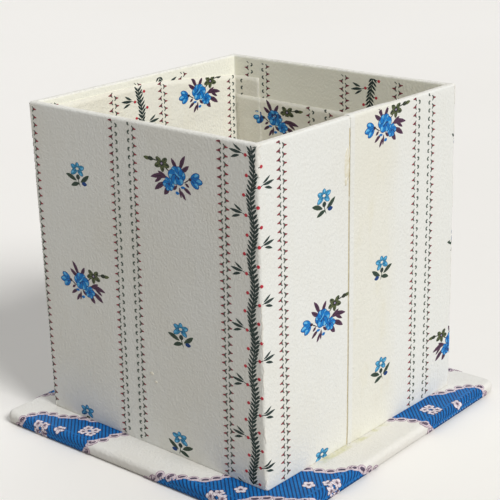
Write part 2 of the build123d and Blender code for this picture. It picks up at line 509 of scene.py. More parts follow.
@dataclass
class PlateSheet:
    """The printed sheet over the foot plate and round its edge.

    Its place is (x, y) with y down the page, seen from above: inside the corner centres' square it
    is flat, and beyond it the distance out runs round the plate's edge section and back under.
    """

    box: BoxSizes
    corner: float = 3.0
    edge_top: float = 1.4
    edge_under: float = 0.8
    turn_under: float = 15.0
    table_grip: tuple[float, float] = (0.3, 1.5)
    upper_fold: Sequence[Sequence[float]] = ((1.0, 1.8), (3.6, 4.4))
    lower_fold: Sequence[Sequence[float]] = ((4.6, 5.0), (6.3, 6.8))
    fold_rise: float = 0.12
    lower_share: float = 1.4
    swell: Swell = Swell(height=0.06, seed=21)
    path: FoldPath = field(init=False)

    def __post_init__(self) -> None:
        """Draws the edge's section, from the corner centre outwards, down and back under."""
        c, top, low = self.corner, self.box.foot, self.box.plate_low
        self.path = FoldPath(((0.0, top), (c, top), (c, low), (c - self.turn_under, low)),
                             (self.edge_top, self.edge_under))

    @property
    def core(self) -> float:
        """Half of the square on which the corner centres lie."""
        return self.box.plate_half - self.corner

    def place(self, x: Array, y: Array, lift: Any) -> Array:
        """Carries plate places to space: nearest point of the core square, then out along the section.

        Args:
            x, y: to the right, and down the page.
            lift: how far off the paper's face.

        Returns:
            Points in millimetres, with x, y, z last.
        """
        up = -np.asarray(y, float)
        cx, cy = np.clip(x, -self.core, self.core), np.clip(up, -self.core, self.core)
        dx, dy = x - cx, up - cy
        out = np.hypot(dx, dy)
        safe = np.maximum(out, 1e-9)
        return self.from_core(cx, cy, dx / safe, dy / safe, out, lift)

    def from_core(self, cx: Array, cy: Array, dx: Array, dy: Array, out: Array, lift: Any) -> Array:
        """The point a distance out from a core point in a given direction, turned with the plate.

        Print stands off a little more over the edge's two folds, where it would otherwise cut the
        bend. A plate that stands off the table has a shorter edge.

        Args:
            cx, cy: the core point.
            dx, dy: the outward direction.
            out: distance along the sheet.
            lift: how far off the sheet's face.

        Returns:
            Points in millimetres, with x, y, z last.
        """
        flat_away, flat_height = self.path.at(out, 0.0)
        flat = np.stack([cx + dx * flat_away, cy + dy * flat_away, flat_height], -1)
        low = self.box.plate_low
        start, end = (low + above for above in self.table_grip)
        open_edge = smooth_step(flat_height, start, end)
        lower = [[distance - low for distance in step] for step in self.lower_fold]
        folds = plateau(out, *self.upper_fold) + self.lower_share * plateau(out, *lower)
        bridge = np.where(np.asarray(lift) > 0.0, self.fold_rise * folds, 0.0)
        away, height = self.path.at(out, lift + bridge + self.swell.at(flat) * open_edge)
        x, y = cx + dx * away, cy + dy * away
        c, s = math.cos(self.box.plate_turn), math.sin(self.box.plate_turn)
        return np.stack([c * x - s * y, s * x + c * y, height], axis=-1)


def grid_quads(columns: int, rows: int, wrap: bool = False) -> Array:
    """Quads of a grid stored column by column, facing the reader when columns run right and rows down.

    Args:
        columns, rows: points across and down.
        wrap: whether the last column joins the first.

    Returns:
        Vertex numbers, four to a face.
    """
    i = np.arange(columns if wrap else columns - 1)[:, None]
    here = np.arange(columns if wrap else columns - 1)[:, None] * rows
    there = (here + rows) % (columns * rows)
    j = np.arange(rows - 1)[None, :]
    quads = np.stack(np.broadcast_arrays(here + j, here + j + 1, there + j + 1, there + j), axis=-1)
    return quads.reshape(-1, 4)


def shell(front: Array, back: Array, wrap: bool = False) -> Mesh:
    """A closed thin shell: the front grid, the back grid turned round, and a strip along each edge.

    Args:
        front, back: the two faces on one grid, columns by rows by 3.
        wrap: whether the last column joins the first.

    Returns:
        The points and the quads.
    """
    columns, rows = front.shape[:2]
    count = columns * rows
    faces = grid_quads(columns, rows, wrap)
    number = np.arange(count).reshape(columns, rows)
    loops = [number[:, -1], number[::-1, 0]]
    if wrap:
        loops = [np.append(number[:, -1], number[0, -1]), np.append(number[0, 0], number[::-1, 0])]
    else:
        loops += [number[-1, ::-1], number[0, :]]
    strips = [np.stack([e[1:], e[:-1], e[:-1] + count, e[1:] + count], axis=-1) for e in loops]
    points = np.concatenate([front.reshape(-1, 3), back.reshape(-1, 3)])
    return points, np.concatenate([faces, faces[:, ::-1] + count, *strips])

def merged(parts: Sequence[Mesh]) -> Mesh:
    """Parts of one mesh as one, each part's quads moved on by the points before it."""
    starts = np.cumsum([0] + [len(points) for points, _ in parts[:-1]])
    quads = [quads + start for (_, quads), start in zip(parts, starts)]
    return np.concatenate([points for points, _ in parts]), np.concatenate(quads)


def make_piece(name: str, points: Array, quads: Array, materials: Sequence[bpy.types.Material],
               slots: Optional[Array] = None, weld: bool = False, smooth: bool = True) -> bpy.types.Object:
    """Makes a mesh object at the origin from millimetre points and quads.

    Args:
        name: the object's name.
        points, quads: positions in millimetres, and vertex numbers, four to a face.
        materials: its materials.
        slots: the material number of each face, or None for the first.
        weld: whether points at one place are joined and empty faces dropped.
        smooth: whether its faces are shaded smooth.

    Returns:
        The object.
    """
    mesh = bpy.data.meshes.new(name)
    mesh.vertices.add(len(points))
    mesh.vertices.foreach_set("co", (points * MM).astype(np.float32).ravel())
    mesh.loops.add(quads.size)
    mesh.loops.foreach_set("vertex_index", quads.astype(np.int32).ravel())
    mesh.polygons.add(len(quads))
    mesh.polygons.foreach_set("loop_start", np.arange(0, quads.size, 4, dtype=np.int32))
    mesh.polygons.foreach_set("loop_total", np.full(len(quads), 4, dtype=np.int32))
    if slots is not None:
        mesh.polygons.foreach_set("material_index", slots.astype(np.int32))
    mesh.update(calc_edges=True)
    for material in materials:
        mesh.materials.append(material)
    if weld:
        work = bmesh.new()
        work.from_mesh(mesh)
        bmesh.ops.remove_doubles(work, verts=work.verts, dist=WELD)
        bmesh.ops.dissolve_degenerate(work, edges=work.edges, dist=SHORTEST_EDGE)
        work.to_mesh(mesh)
        work.free()
    mesh.polygons.foreach_set("use_smooth", np.full(len(mesh.polygons), smooth))
    mesh.update()
    piece = bpy.data.objects.new(name, mesh)
    bpy.context.scene.collection.objects.link(piece)
    log.info("%s: %d points, %d faces", name, len(mesh.vertices), len(mesh.polygons))
    return piece


@dataclass
class Marks:
    """Printed marks of one number of stations: a middle line and half widths each, in sheet places.

    base is how far the first stands off its sheet, step how much further each next one does, and
    across how many points lie from one edge of a mark to the other.
    """

    line: Array
    half: Array
    ink: Array
    base: float = 0.012
    step: float = 0.0005
    across: int = 2

    def moved(self, dx: float, dy: float, mirror: bool = False, turn: float = 0.0) -> "Marks":
        """The marks mirrored left to right if asked, turned clockwise by degrees, then moved.

        Args:
            dx, dy: to the right, and down.
            mirror: whether left and right change places.
            turn: degrees.

        Returns:
            New marks.
        """
        line = self.line * np.array([-1.0, 1.0]) if mirror else self.line
        c, s = math.cos(math.radians(turn)), math.sin(math.radians(turn))
        return replace(self, line=line @ np.array([[c, s], [-s, c]]) + np.array([dx, dy]))

    def only(self, keep: Array) -> "Marks":
        """The marks for which keep is true."""
        return replace(self, line=self.line[keep], half=self.half[keep], ink=self.ink[keep])

    def between(self, axis: int, low: float, high: float) -> "Marks":
        """Only the marks whose middle lies between two places along axis 0, across, or 1, down."""
        middle = self.line[..., axis].mean(axis=1)
        return self.only((middle > low) & (middle < high))


LEAF_STATIONS, NARROWEST_HALF = 7, 0.015
POINTED, LEAFY, OVAL, ROUND = 1.0, 0.85, 0.62, 0.5


def leaves(rows: Sequence[Sequence[Any]], origin: tuple[float, float] = (0.0, 0.0), base: float = 0.012,
           across: int = 2) -> Marks:
    """Leaf-shaped marks, one a row of (x0, y0, x1, y1, width, bend, fullness, ink).

    The middle line goes from the first point to the second, bowed to its left by bend times a sine
    arch, and the half width is half of width times sine to the power of fullness. Stations lie
    closer at both ends, as the cosine spaces them.

    Args:
        rows: the marks.
        origin: the place that becomes 0, 0.
        base: how far the first stands off its sheet.
        across: points from one edge of a mark to the other.

    Returns:
        The marks.
    """
    numbers = np.array([row[:7] for row in rows], float)
    start, end = numbers[:, 0:2] - origin, numbers[:, 2:4] - origin
    run = end - start
    length = np.maximum(np.linalg.norm(run, axis=1, keepdims=True), 1e-6)
    side = np.stack([-run[:, 1], run[:, 0]], axis=1) / length
    angle = np.linspace(0.0, math.pi, LEAF_STATIONS)
    t = (1.0 - np.cos(angle)) / 2.0
    arch = np.sin(math.pi * t)
    bow = (numbers[:, 5, None] * arch)[..., None] * side[:, None]
    line = start[:, None] + run[:, None] * t[None, :, None] + bow
    half = 0.5 * numbers[:, 4, None] * np.maximum(arch, 0.0)[None] ** numbers[:, 6, None]
    inks = np.array([row[7].number for row in rows])
    return Marks(line, np.maximum(half, NARROWEST_HALF), inks, base=base, across=across)


def bars(start: Array, end: Array, width: float, ink: Ink, taper: float = 1.0) -> Marks:
    """Straight marks between two stations.

    Args:
        start, end: the first and the second ends, one a row.
        width: the width at the first end.
        ink: their colour.
        taper: the second end's width as a share of the first's.

    Returns:
        The marks.
    """
    line = np.stack([start, end], axis=1)
    half = np.tile(np.array([0.5 * width, 0.5 * width * taper]), (len(line), 1))
    return Marks(line, half, np.full(len(line), ink.number))


def joined(parts: Sequence[Marks]) -> Marks:
    """Marks of the same number of stations, one after another."""
    line, half, ink = (np.concatenate([getattr(p, name) for p in parts]) for name in ("line", "half", "ink"))
    return replace(parts[0], line=line, half=half, ink=ink)


class Stitch(Enum):
    """The kinds of stitch mark, as arms about a knot, with x outwards from the column and y down.

    Each arm is (x0, y0, x1, y1, width, ink, taper). A knot has a maroon middle, a red arm outwards
    and two short arms inwards, up and down. A bud is a small crescent open towards the other file.
    """

    KNOT = ((0.0, 0.0, -0.64, -0.68, 0.50, Ink.SAGE, 0.55), (0.0, 0.0, -0.58, 0.70, 0.50, Ink.SAGE, 0.55),
            (-0.05, 0.0, 0.84, 0.08, 0.48, Ink.WINE, 0.5),
            (-0.36, -0.18, 0.38, 0.10, 0.66, Ink.MAROON, 0.75))
    BUD = ((-0.40, -0.46, 0.22, -0.16, 0.40, Ink.SAGE, 1.2), (0.20, -0.28, 0.14, 0.34, 0.50, Ink.SAGE, 0.9),
           (0.22, 0.22, -0.30, 0.46, 0.40, Ink.SAGE, 0.6), (0.12, -0.20, 0.10, 0.22, 0.28, Ink.VINE, 0.8))
    NONE = ()


Files = tuple[Stitch, Stitch]
KNOTS, KNOT_BUD, BUD_KNOT = (Stitch.KNOT, Stitch.KNOT), (Stitch.KNOT, Stitch.BUD), (Stitch.BUD, Stitch.KNOT)
BUD_LEFT, BUD_RIGHT = (Stitch.BUD, Stitch.NONE), (Stitch.NONE, Stitch.BUD)


class Motif(Enum):
    """The two motifs that are scattered between the columns."""

    BOUQUET = "bouquet"
    SPRIG = "sprig"


BOUQUET, SPRIG = Motif.BOUQUET, Motif.SPRIG


class Sprigs:
    """The print's motifs, each drawn once about its own middle, and its columns about x = 0."""

    blues = (Ink.BLUE, Ink.BLUE_DEEP, Ink.BLUE_PALE)
    file_offset = 0.95
    stitch_pitch = 2.15
    half_step = 1.07
    sway = 0.55
    vine_wave = 14.4
    stem_pitch = 2.3
    pair_pitch = 1.12
    berry_pitch = 4.8
    berry = ((0.6, 0.3, 1.9, 0.0, 0.2, 0.0, OVAL, Ink.VINE),
             (1.65, -0.05, 2.6, 0.0, 0.86, 0.0, ROUND, Ink.RED))
    three_leaves = ((3.2, -0.3, 5.7, -1.7, 0.64, 0.12, LEAFY, Ink.VINE),
                    (3.1, 0.1, 7.1, -0.35, 0.82, 0.10, LEAFY, Ink.VINE),
                    (3.8, 0.75, 6.5, 1.6, 0.72, -0.12, LEAFY, Ink.VINE),
                    (2.3, 0.45, 3.2, 0.1, 0.2, 0.0, OVAL, Ink.VINE))

    @staticmethod
    def flower(centre: tuple[float, float], tips: Sequence[tuple[float, float]], width: float,
               inks: tuple[Ink, Ink, Ink]) -> list[tuple]:
        """Petals from near the centre to each tip, each with a dark outline and throat and a pale streak.

        Args:
            centre: the flower's middle.
            tips: the petals' tips.
            width: the petals' width.
            inks: the colours of petals, throats and streaks.

        Returns:
            Rows for leaves().
        """
        (cx, cy), (petal, deep, pale) = centre, inks
        rows: list[tuple] = []
        for x, y in tips:
            vx, vy = x - cx, y - cy
            streak = (cx + 0.50 * vx, cy + 0.50 * vy, cx + 0.93 * vx, cy + 0.93 * vy)
            throat = (cx + 0.08 * vx, cy + 0.08 * vy, cx + 0.50 * vx, cy + 0.50 * vy)
            rows += [(cx, cy, cx + 1.05 * vx, cy + 1.05 * vy, 1.14 * width, 0.0, ROUND, deep),
                     (cx + 0.04 * vx, cy + 0.04 * vy, x, y, width, 0.0, ROUND, petal),
                     (*streak, 0.40 * width, 0.16 * width, OVAL, pale),
                     (*throat, 0.22 * width, 0.0, POINTED, deep)]
        return rows

    @staticmethod
    def leaf(x0: float, y0: float, x1: float, y1: float, width: float, bend: float,
             inks: tuple[Ink, Ink]) -> list[tuple]:
        """A pointed leaf from its stalk to its tip, with a darker vein along most of it."""
        vx, vy = x1 - x0, y1 - y0
        line = (x0 + 0.12 * vx, y0 + 0.12 * vy, x0 + 0.8 * vx, y0 + 0.8 * vy)
        return [(x0, y0, x1, y1, width, bend, OVAL + 0.12, inks[0]),
                (*line, 0.2 * width, 0.9 * bend, POINTED, inks[1])]

    @classmethod
    def bouquet(cls) -> Marks:
        """The large motif: three blue flowers among dark leaves, and an olive flower and bud."""
        rows: list[tuple] = []
        for x0, y0, x1, y1, width, bend in (
                (21.4, 47.4, 19.3, 43.5, 1.0, 0.2), (21.3, 47.7, 18.2, 45.8, 0.95, -0.2),
                (22.2, 47.0, 24.0, 44.6, 0.95, 0.15), (25.6, 49.6, 31.6, 50.2, 1.05, -0.35),
                (26.0, 49.6, 28.9, 48.4, 0.8, 0.1), (27.6, 49.9, 30.2, 51.4, 0.7, -0.1),
                (26.4, 51.0, 30.4, 53.3, 1.1, -0.2),
                (25.4, 51.6, 27.2, 54.1, 1.2, 0.15), (20.6, 51.4, 18.0, 52.9, 0.75, 0.1),
                (21.2, 52.4, 19.9, 54.5, 0.7, -0.1), (21.8, 51.6, 21.4, 54.2, 0.6, 0.0),
                (22.5, 51.2, 23.9, 52.5, 0.65, 0.0), (19.8, 50.3, 18.5, 51.1, 0.6, 0.0)):
            rows += cls.leaf(x0, y0, x1, y1, 1.28 * width, bend, (Ink.PURPLE, Ink.PURPLE_DEEP))
        rows += [(18.2, 49.0, 20.3, 50.3, 0.3, 0.1, OVAL, Ink.PURPLE_DEEP),
                 (24.9, 48.1, 26.3, 47.2, 0.3, 0.0, OVAL, Ink.OLIVE_DEEP),
                 (28.9, 45.9, 30.7, 45.6, 0.3, 0.0, OVAL, Ink.OLIVE_DEEP)]
        rows += cls.flower((27.4, 46.4),
                           ((25.6, 45.0), (24.9, 46.9), (27.2, 48.4), (29.8, 47.2), (29.2, 45.0)),
                           1.25, (Ink.OLIVE, Ink.OLIVE_DEEP, Ink.OLIVE_DEEP))
        rows += [(26.7, 46.3, 28.1, 46.4, 1.3, 0.0, ROUND, Ink.OLIVE_DEEP),
                 (27.1, 46.35, 27.7, 46.4, 0.5, 0.0, ROUND, Ink.LILAC),
                 (31.0, 45.6, 33.6, 45.4, 0.95, 0.1, OVAL, Ink.OLIVE),
                 (30.2, 45.7, 32.2, 45.5, 1.1, 0.0, OVAL, Ink.OLIVE_DEEP)]
        rows += cls.flower((17.9, 49.1), ((15.0, 47.6), (14.1, 49.4), (15.4, 50.9)), 1.7, cls.blues)
        rows += [(17.5, 49.0, 18.6, 49.2, 0.8, 0.0, ROUND, Ink.PURPLE_DEEP)]
        rows += cls.flower((25.2, 51.2), ((23.5, 51.5), (24.4, 49.8), (26.3, 49.8),
                                          (27.4, 51.3), (26.2, 52.8), (24.4, 52.7)), 1.7, cls.blues)
        rows += cls.flower((22.4, 48.7), ((19.6, 48.4), (21.0, 46.7), (23.6, 46.7),
                                          (25.3, 48.7), (23.6, 50.8), (20.8, 50.7)), 2.5, cls.blues)
        rows += [(22.0, 48.6, 22.9, 48.8, 0.7, 0.0, ROUND, Ink.BLUE_DEEP),
                 (24.9, 51.2, 25.6, 51.3, 0.5, 0.0, ROUND, Ink.BLUE_DEEP),
                 (19.9, 51.4, 21.3, 51.5, 0.65, 0.0, ROUND, Ink.BLUE),
                 (22.0, 53.2, 23.2, 53.0, 0.8, 0.0, ROUND, Ink.BLUE),
                 (21.3, 49.1, 23.0, 47.7, 0.4, 0.2, OVAL, Ink.BLUE_PALE)]
        return leaves(rows, (22.5, 49.5), across=3)

    @classmethod
    def sprig(cls) -> Marks:
        """The small motif: a teal flower over a green calyx with three leaves and a bud to the right."""
        rows = [(17.6, 17.8, 18.3, 20.2, 0.32, 0.1, OVAL, Ink.LEAF)]
        for x0, y0, x1, y1, width in ((17.0, 18.6, 13.0, 17.2, 1.3), (18.1, 19.2, 14.7, 20.2, 1.2),
                                      (18.5, 18.9, 21.9, 16.7, 1.3)):
            rows += cls.leaf(x0, y0, x1, y1, width, 0.12, (Ink.LEAF, Ink.VINE))
        rows += [(16.9, 17.6, 18.4, 17.6, 1.45, 0.0, ROUND, Ink.VINE),
                 (18.9, 19.2, 20.9, 19.2, 1.15, 0.0, OVAL, Ink.BLUE_DEEP)]
        rows += cls.flower((17.6, 15.5),
                           ((15.3, 14.6), (15.1, 16.9), (17.8, 13.7), (20.2, 14.8), (19.6, 17.0)),
                           1.35, (Ink.TEAL, Ink.TEAL_DEEP, Ink.BLUE_PALE))
        rows += [(17.1, 15.4, 18.2, 15.4, 0.75, 0.0, ROUND, Ink.CREAM)]
        return leaves(rows, (17.5, 17.0), across=3)

    @classmethod
    def motif(cls, kind: Motif) -> Marks:
        """The motif of that kind."""
        return cls.bouquet() if kind is BOUQUET else cls.sprig()

    @classmethod
    def stitches(cls, length: float, first: float, files: Files) -> Marks:
        """A column of two files of stitch marks about x = 0, the right file half_step lower.

        Args:
            length, first: where the column ends and starts.
            files: the kind of the left and the right file.

        Returns:
            The marks.
        """
        parts = []
        for side, lower, kind in zip((-1.0, 1.0), (0.0, cls.half_step), files):
            y = np.arange(first + 0.6 + lower, length - 0.5, cls.stitch_pitch)
            x = cls.file_offset * side + 0.10 * ripple(y, 5.3, 31 + int(side))
            knot = np.stack([x, y + 0.12 * ripple(y, 3.9, 33)], axis=1)
            for x0, y0, x1, y1, width, ink, taper in kind.value:
                near, far = (knot + np.array([dx * side, dy]) for dx, dy in ((x0, y0), (x1, y1)))
                parts.append(bars(near, far, width, ink, taper))
        return joined(parts)

    @classmethod
    def vine(cls, length: float, first: float, phase: float) -> Marks:
        """A climbing vine about a middle that sways: a chain of paired leaves with berries and sprigs.

        Berries hang on short stalks each side, and a sprig of three leaves stands out each side once
        a wave, the two sides half a wave apart.

        Args:
            length, first: where the vine ends and starts.
            phase: where the first left sprig stands.

        Returns:
            The marks.
        """
        rows: list[tuple] = []
        for y in np.arange(first + 0.5, length - 0.5, cls.stem_pitch):
            x, x_below = cls.middle(y, phase), cls.middle(y + 2.4, phase)
            rows.append((x, y - 0.3, x_below, y + 2.6, 0.42, 0.0, ROUND, Ink.VINE))
        for y in np.arange(first + 0.6, length - 0.4, cls.pair_pitch):
            x = cls.middle(y, phase)
            rows += [(x - 0.02 * side, y + 0.86, x + 1.42 * side, y - 0.80, 0.66, -0.06 * side, LEAFY,
                      Ink.VINE) for side in (-1.0, 1.0)]
        hanging = ((cls.berry, cls.berry_pitch, (0.5, 2.9), 1.0, 0.0),
                   (cls.three_leaves, cls.vine_wave, (0.0, 0.5 * cls.vine_wave), 1.5, 2.0))
        for shapes, pitch, starts, below, past in hanging:
            for side, start in zip((-1.0, 1.0), starts):
                for y in np.arange(phase + start - cls.vine_wave, length + past, pitch):
                    if y > first + below:
                        rows += cls.hung(shapes, side, cls.middle(y, phase), y)
        return leaves(rows)

    @classmethod
    def middle(cls, y: float, phase: float) -> float:
        """Where the vine's wandering middle is at y."""
        return cls.sway * math.sin(2.0 * math.pi * (y - phase) / cls.vine_wave)

    @staticmethod
    def hung(shapes: Sequence[tuple], side: float, x: float, y: float) -> list[tuple]:
        """Shapes drawn for the right side, hung at a place of the vine on the right, 1, or the left, -1."""
        return [(x + side * x0, y + y0, x + side * x1, y + y1, width, bend * side, fullness, ink)
                for x0, y0, x1, y1, width, bend, fullness, ink in shapes]


@dataclass(frozen=True)
class SheetEdges:
    """Keeps print on its sheet, between edges that are places or functions of the other coordinate.

    left and right may depend on t, the place down the sheet, or else top on s, the place across.
    Print keeps hem_gap below a top that slopes.
    """

    left: Edge
    right: Edge
    top: Edge
    bottom: float
    hem_gap: float = 0.06

    def __call__(self, places: Array) -> Array:
        """The places moved onto the sheet.

        Args:
            places: s and t last.

        Returns:
            The moved places.
        """
        s, t = places[..., 0], places[..., 1]
        if callable(self.top):
            s = np.clip(s, self.left, self.right)
            return np.stack([s, np.clip(t, self.top(s) + self.hem_gap, self.bottom)], axis=-1)
        t = np.clip(t, self.top, self.bottom)
        left, right = (edge(t) if callable(edge) else edge for edge in (self.left, self.right))
        return np.stack([np.clip(s, left, right), t], axis=-1)


Run = tuple[Marks, Place, SheetEdges]


@dataclass
class PrintPress:
    """Turns marks into closed thin shapes on a sheet, one object a sheet.

    Within a group each mark stands off by one step more than the last, over and over after cycle
    marks, and every mark's sides go down to sunk.
    """

    inks: dict[Ink, bpy.types.Material]
    cycle: int = 128
    sunk: float = -0.012

    def strike(self, marks: Marks, place: Place, edges: SheetEdges) -> tuple[Array, Array, Array]:
        """The closed shapes of the marks on one sheet.

        Each mark's edges lie half a width to either side of its middle line. Its top stands off the
        sheet, and its sides go down into the sheet.

        Args:
            marks: what is printed.
            place: the sheet's own mapping.
            edges: keeps places on the sheet.

        Returns:
            Points, quads and the ink of each quad.
        """
        count, stations = marks.half.shape
        head = np.gradient(marks.line, axis=1)
        head /= np.maximum(np.linalg.norm(head, axis=2, keepdims=True), 1e-9)
        side = np.stack([-head[..., 1], head[..., 0]], axis=-1) * marks.half[..., None]
        spread = np.linspace(1.0, -1.0, marks.across)[None, None, :, None]
        spots = edges(marks.line[:, :, None] + side[:, :, None] * spread)
        rank = marks.base + marks.step * (np.arange(count) % self.cycle)
        lift = np.stack([np.full(count, self.sunk), rank], axis=-1)[:, None, None, :]
        s, t = (np.repeat(spots[..., k][..., None], 2, axis=-1) for k in (0, 1))
        points = place(s, t, lift + 0.0 * s)
        n = np.arange(points.size // 3).reshape(count, stations, marks.across, 2)
        low, high = n[..., 0], n[..., 1]
        sides = ((high[:, :-1, :-1], high[:, 1:, :-1], high[:, 1:, 1:], high[:, :-1, 1:]),
                 (low[:, :-1, 1:], low[:, 1:, 1:], low[:, 1:, :-1], low[:, :-1, :-1]),
                 (low[:, :-1, 0], low[:, 1:, 0], high[:, 1:, 0], high[:, :-1, 0]),
                 (low[:, 1:, -1], low[:, :-1, -1], high[:, :-1, -1], high[:, 1:, -1]),
                 (low[:, 0, 1:], low[:, 0, :-1], high[:, 0, :-1], high[:, 0, 1:]),
                 (low[:, -1, :-1], low[:, -1, 1:], high[:, -1, 1:], high[:, -1, :-1]))
        faces = [np.stack(corners, axis=-1).reshape(count, -1, 4) for corners in sides]
        quads = np.concatenate(faces, axis=1)
        inks = np.repeat(marks.ink, quads.shape[1])
        return points.reshape(-1, 3), quads.reshape(-1, 4), inks

    def print_piece(self, name: str, runs: Sequence[Run]) -> bpy.types.Object:
        """One object with all the marks of a sheet.

        Args:
            name: the object's name.
            runs: marks, the sheet's mapping and its edges, for each part of the sheet.

        Returns:
            The object, riding on the box.
        """
        struck = [self.strike(*run) for run in runs]
        points, quads = merged([(p, q) for p, q, _ in struck])
        used, slots = np.unique(np.concatenate([inks for _, _, inks in struck]), return_inverse=True)
        materials = [self.inks[list(Ink)[int(k)]] for k in used]
        piece = make_piece(name, points, quads, materials, slots, smooth=False)
        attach(piece, "root")
        return piece


class Value:
    """Wraps a shader socket so that arithmetic on it adds Math nodes."""

    def __init__(self, nodes: "Nodes", socket: Any) -> None:
        """Keeps the socket and the tree's helper."""
        self.nodes = nodes
        self.socket = socket

    def _math(self, operation: str, *others: Any) -> "Value":
        """A Math node of this operation on this value and the others."""
        return Value(self.nodes, self.nodes.add("ShaderNodeMath", {"operation": operation},
                                                dict(enumerate((self, *others)))).outputs[0])

    def __add__(self, other: Any) -> "Value":
        """Sum."""
        return self._math("ADD", other)

    __radd__ = __add__

    def __mul__(self, other: Any) -> "Value":
        """Product."""
        return self._math("MULTIPLY", other)

    def __sub__(self, other: Any) -> "Value":
        """Difference."""
        return self._math("SUBTRACT", other)

    def rise(self, low: float, high: float) -> "Value":
        """Goes smoothly from 0 at low to 1 at high, or the other way where low is the larger."""
        node = self.nodes.add("ShaderNodeMapRange", {"interpolation_type": "SMOOTHSTEP"}, {
            "Value": self, "From Min": low, "From Max": high, "To Min": 0.0, "To Max": 1.0})
        return Value(self.nodes, node.outputs["Result"])

    def window(self, rise: tuple[float, float], fall: tuple[float, float]) -> "Value":
        """Goes smoothly up over rise and down again over fall, whose larger end comes first."""
        return self.rise(*rise) * self.rise(*fall)


class Nodes:
    """A material's node tree, made by one method."""

    def __init__(self, name: str) -> None:
        """Starts a material with a Principled shader."""
        self.material = bpy.data.materials.new(name)
        self.material.use_nodes = True
        self.tree = self.material.node_tree
        self.shader = next(n for n in self.tree.nodes if n.type == "BSDF_PRINCIPLED")
        self.place = self.add("ShaderNodeTexCoord", {}, {}).outputs["Object"]

    def add(self, kind: str, settings: dict[str, Any], inputs: dict[Any, Any]) -> Any:
        """Adds a node, sets its settings, then its inputs.

        Args:
            kind: the node's type.
            settings: its settings by name.
            inputs: values or links by socket name or number.

        Returns:
            The node.
        """
        node = self.tree.nodes.new(kind)
        for key, value in settings.items():
            if key == "stops":
                ramp = node.color_ramp.elements
                while len(ramp) < len(value):
                    ramp.new(0.5)
                for element, (position, colour) in zip(ramp, value):
                    element.position, element.color = position, colour
            else:
                setattr(node, key, value)
        for key, value in inputs.items():
            self.feed(node.inputs[key], value)
        return node

    def feed(self, socket: Any, value: Any) -> None:
        """Links a value or socket to an input, or sets the input's own number.

        Args:
            socket: the input.
            value: what it gets.
        """
        if isinstance(value, Value):
            self.tree.links.new(value.socket, socket)
        elif isinstance(value, bpy.types.NodeSocket):
            self.tree.links.new(value, socket)
        else:
            socket.default_value = value

    def noise(self, scale: float, detail: float = 3.0, stretch: Optional[tuple[float, float, float]] = None,
              roughness: float = 0.55) -> Value:
        """Noise over Object coordinates.

        Args:
            scale, detail, roughness: how fine it is, its finer layers, and how strong they are.
            stretch: factors for x, y and z, where it is not alike along each.

        Returns:
            The noise, from 0 to 1 about 0.5.
        """
        where = self.place
        if stretch is not None:
            where = self.add("ShaderNodeMapping", {}, {"Vector": where, "Scale": stretch}).outputs["Vector"]
        inputs = {"Vector": where, "Scale": scale, "Detail": detail, "Roughness": roughness}
        return Value(self, self.add("ShaderNodeTexNoise", {}, inputs).outputs[0])

    def mix(self, factor: Any, first: Any, second: Any) -> Any:
        """A colour mix.

        Args:
            factor: the second colour's share, as a number or a socket.
            first, second: colours or their sockets.

        Returns:
            The mixed colour's socket.
        """
        node = self.add("ShaderNodeMix", {"data_type": "RGBA"}, {"Factor": factor})
        colours = [s for s in node.inputs if s.type == "RGBA"]
        self.feed(colours[0], first)
        self.feed(colours[1], second)
        return next(s for s in node.outputs if s.type == "RGBA")

    def axes(self) -> tuple[Value, Value, Value]:
        """The Object coordinates as three values."""
        split = self.add("ShaderNodeSeparateXYZ", {}, {"Vector": self.place})
        return tuple(Value(self, split.outputs[i]) for i in range(3))

    def finish(self, colour: Any, dull: Value, relief: Optional[tuple[Value, float, float]] = None,
               specular: Optional[float] = None) -> bpy.types.Material:
        """Feeds the shader.

        Args:
            colour, dull: the base colour and the roughness.
            relief: the bump's height, distance and strength, if there is one.
            specular: the specular level, if it isn't the shader's own.

        Returns:
            The material.
        """
        self.feed(self.shader.inputs["Base Color"], colour)
        self.feed(self.shader.inputs["Roughness"], dull)
        if relief is not None:
            bump = self.add("ShaderNodeBump", {}, dict(zip(("Height", "Distance", "Strength"), relief)))
            self.feed(self.shader.inputs["Normal"], bump.outputs["Normal"])
        if specular is not None:
            self.shader.inputs["Specular IOR Level"].default_value = specular
        return self.material


def tint(rgb: Sequence[float], alpha: float = 1.0) -> tuple[float, float, float, float]:
    """A colour from 0 to 255 as the linear one that shaders take."""
    c = np.asarray(rgb, float) / 255.0
    linear = np.where(c <= 0.04045, c / 12.92, ((c + 0.055) / 1.055) ** 2.4)
    return (float(linear[0]), float(linear[1]), float(linear[2]), alpha)


@dataclass(frozen=True)
class InkFinish:
    """A printed colour that takes the paper's grain and is a little uneven."""

    ink: Ink

    def material(self) -> bpy.types.Material:
        """The ink's material: two tints by a fine noise, with the paper's dimples."""
        dark, light, dull = self.ink.value
        n = Nodes(f"ink_{self.ink.name.lower()}")
        speck, broad = n.noise(1900.0, 2.0), n.noise(420.0, 2.0)
        colour = n.mix((speck * 0.6 + broad * 0.4).rise(0.36, 0.64), tint(dark), tint(light))
        return n.finish(colour, dull + (speck - 0.5) * 0.18, (n.noise(1500.0, 3.0), 0.00004, 0.5), 0.3)


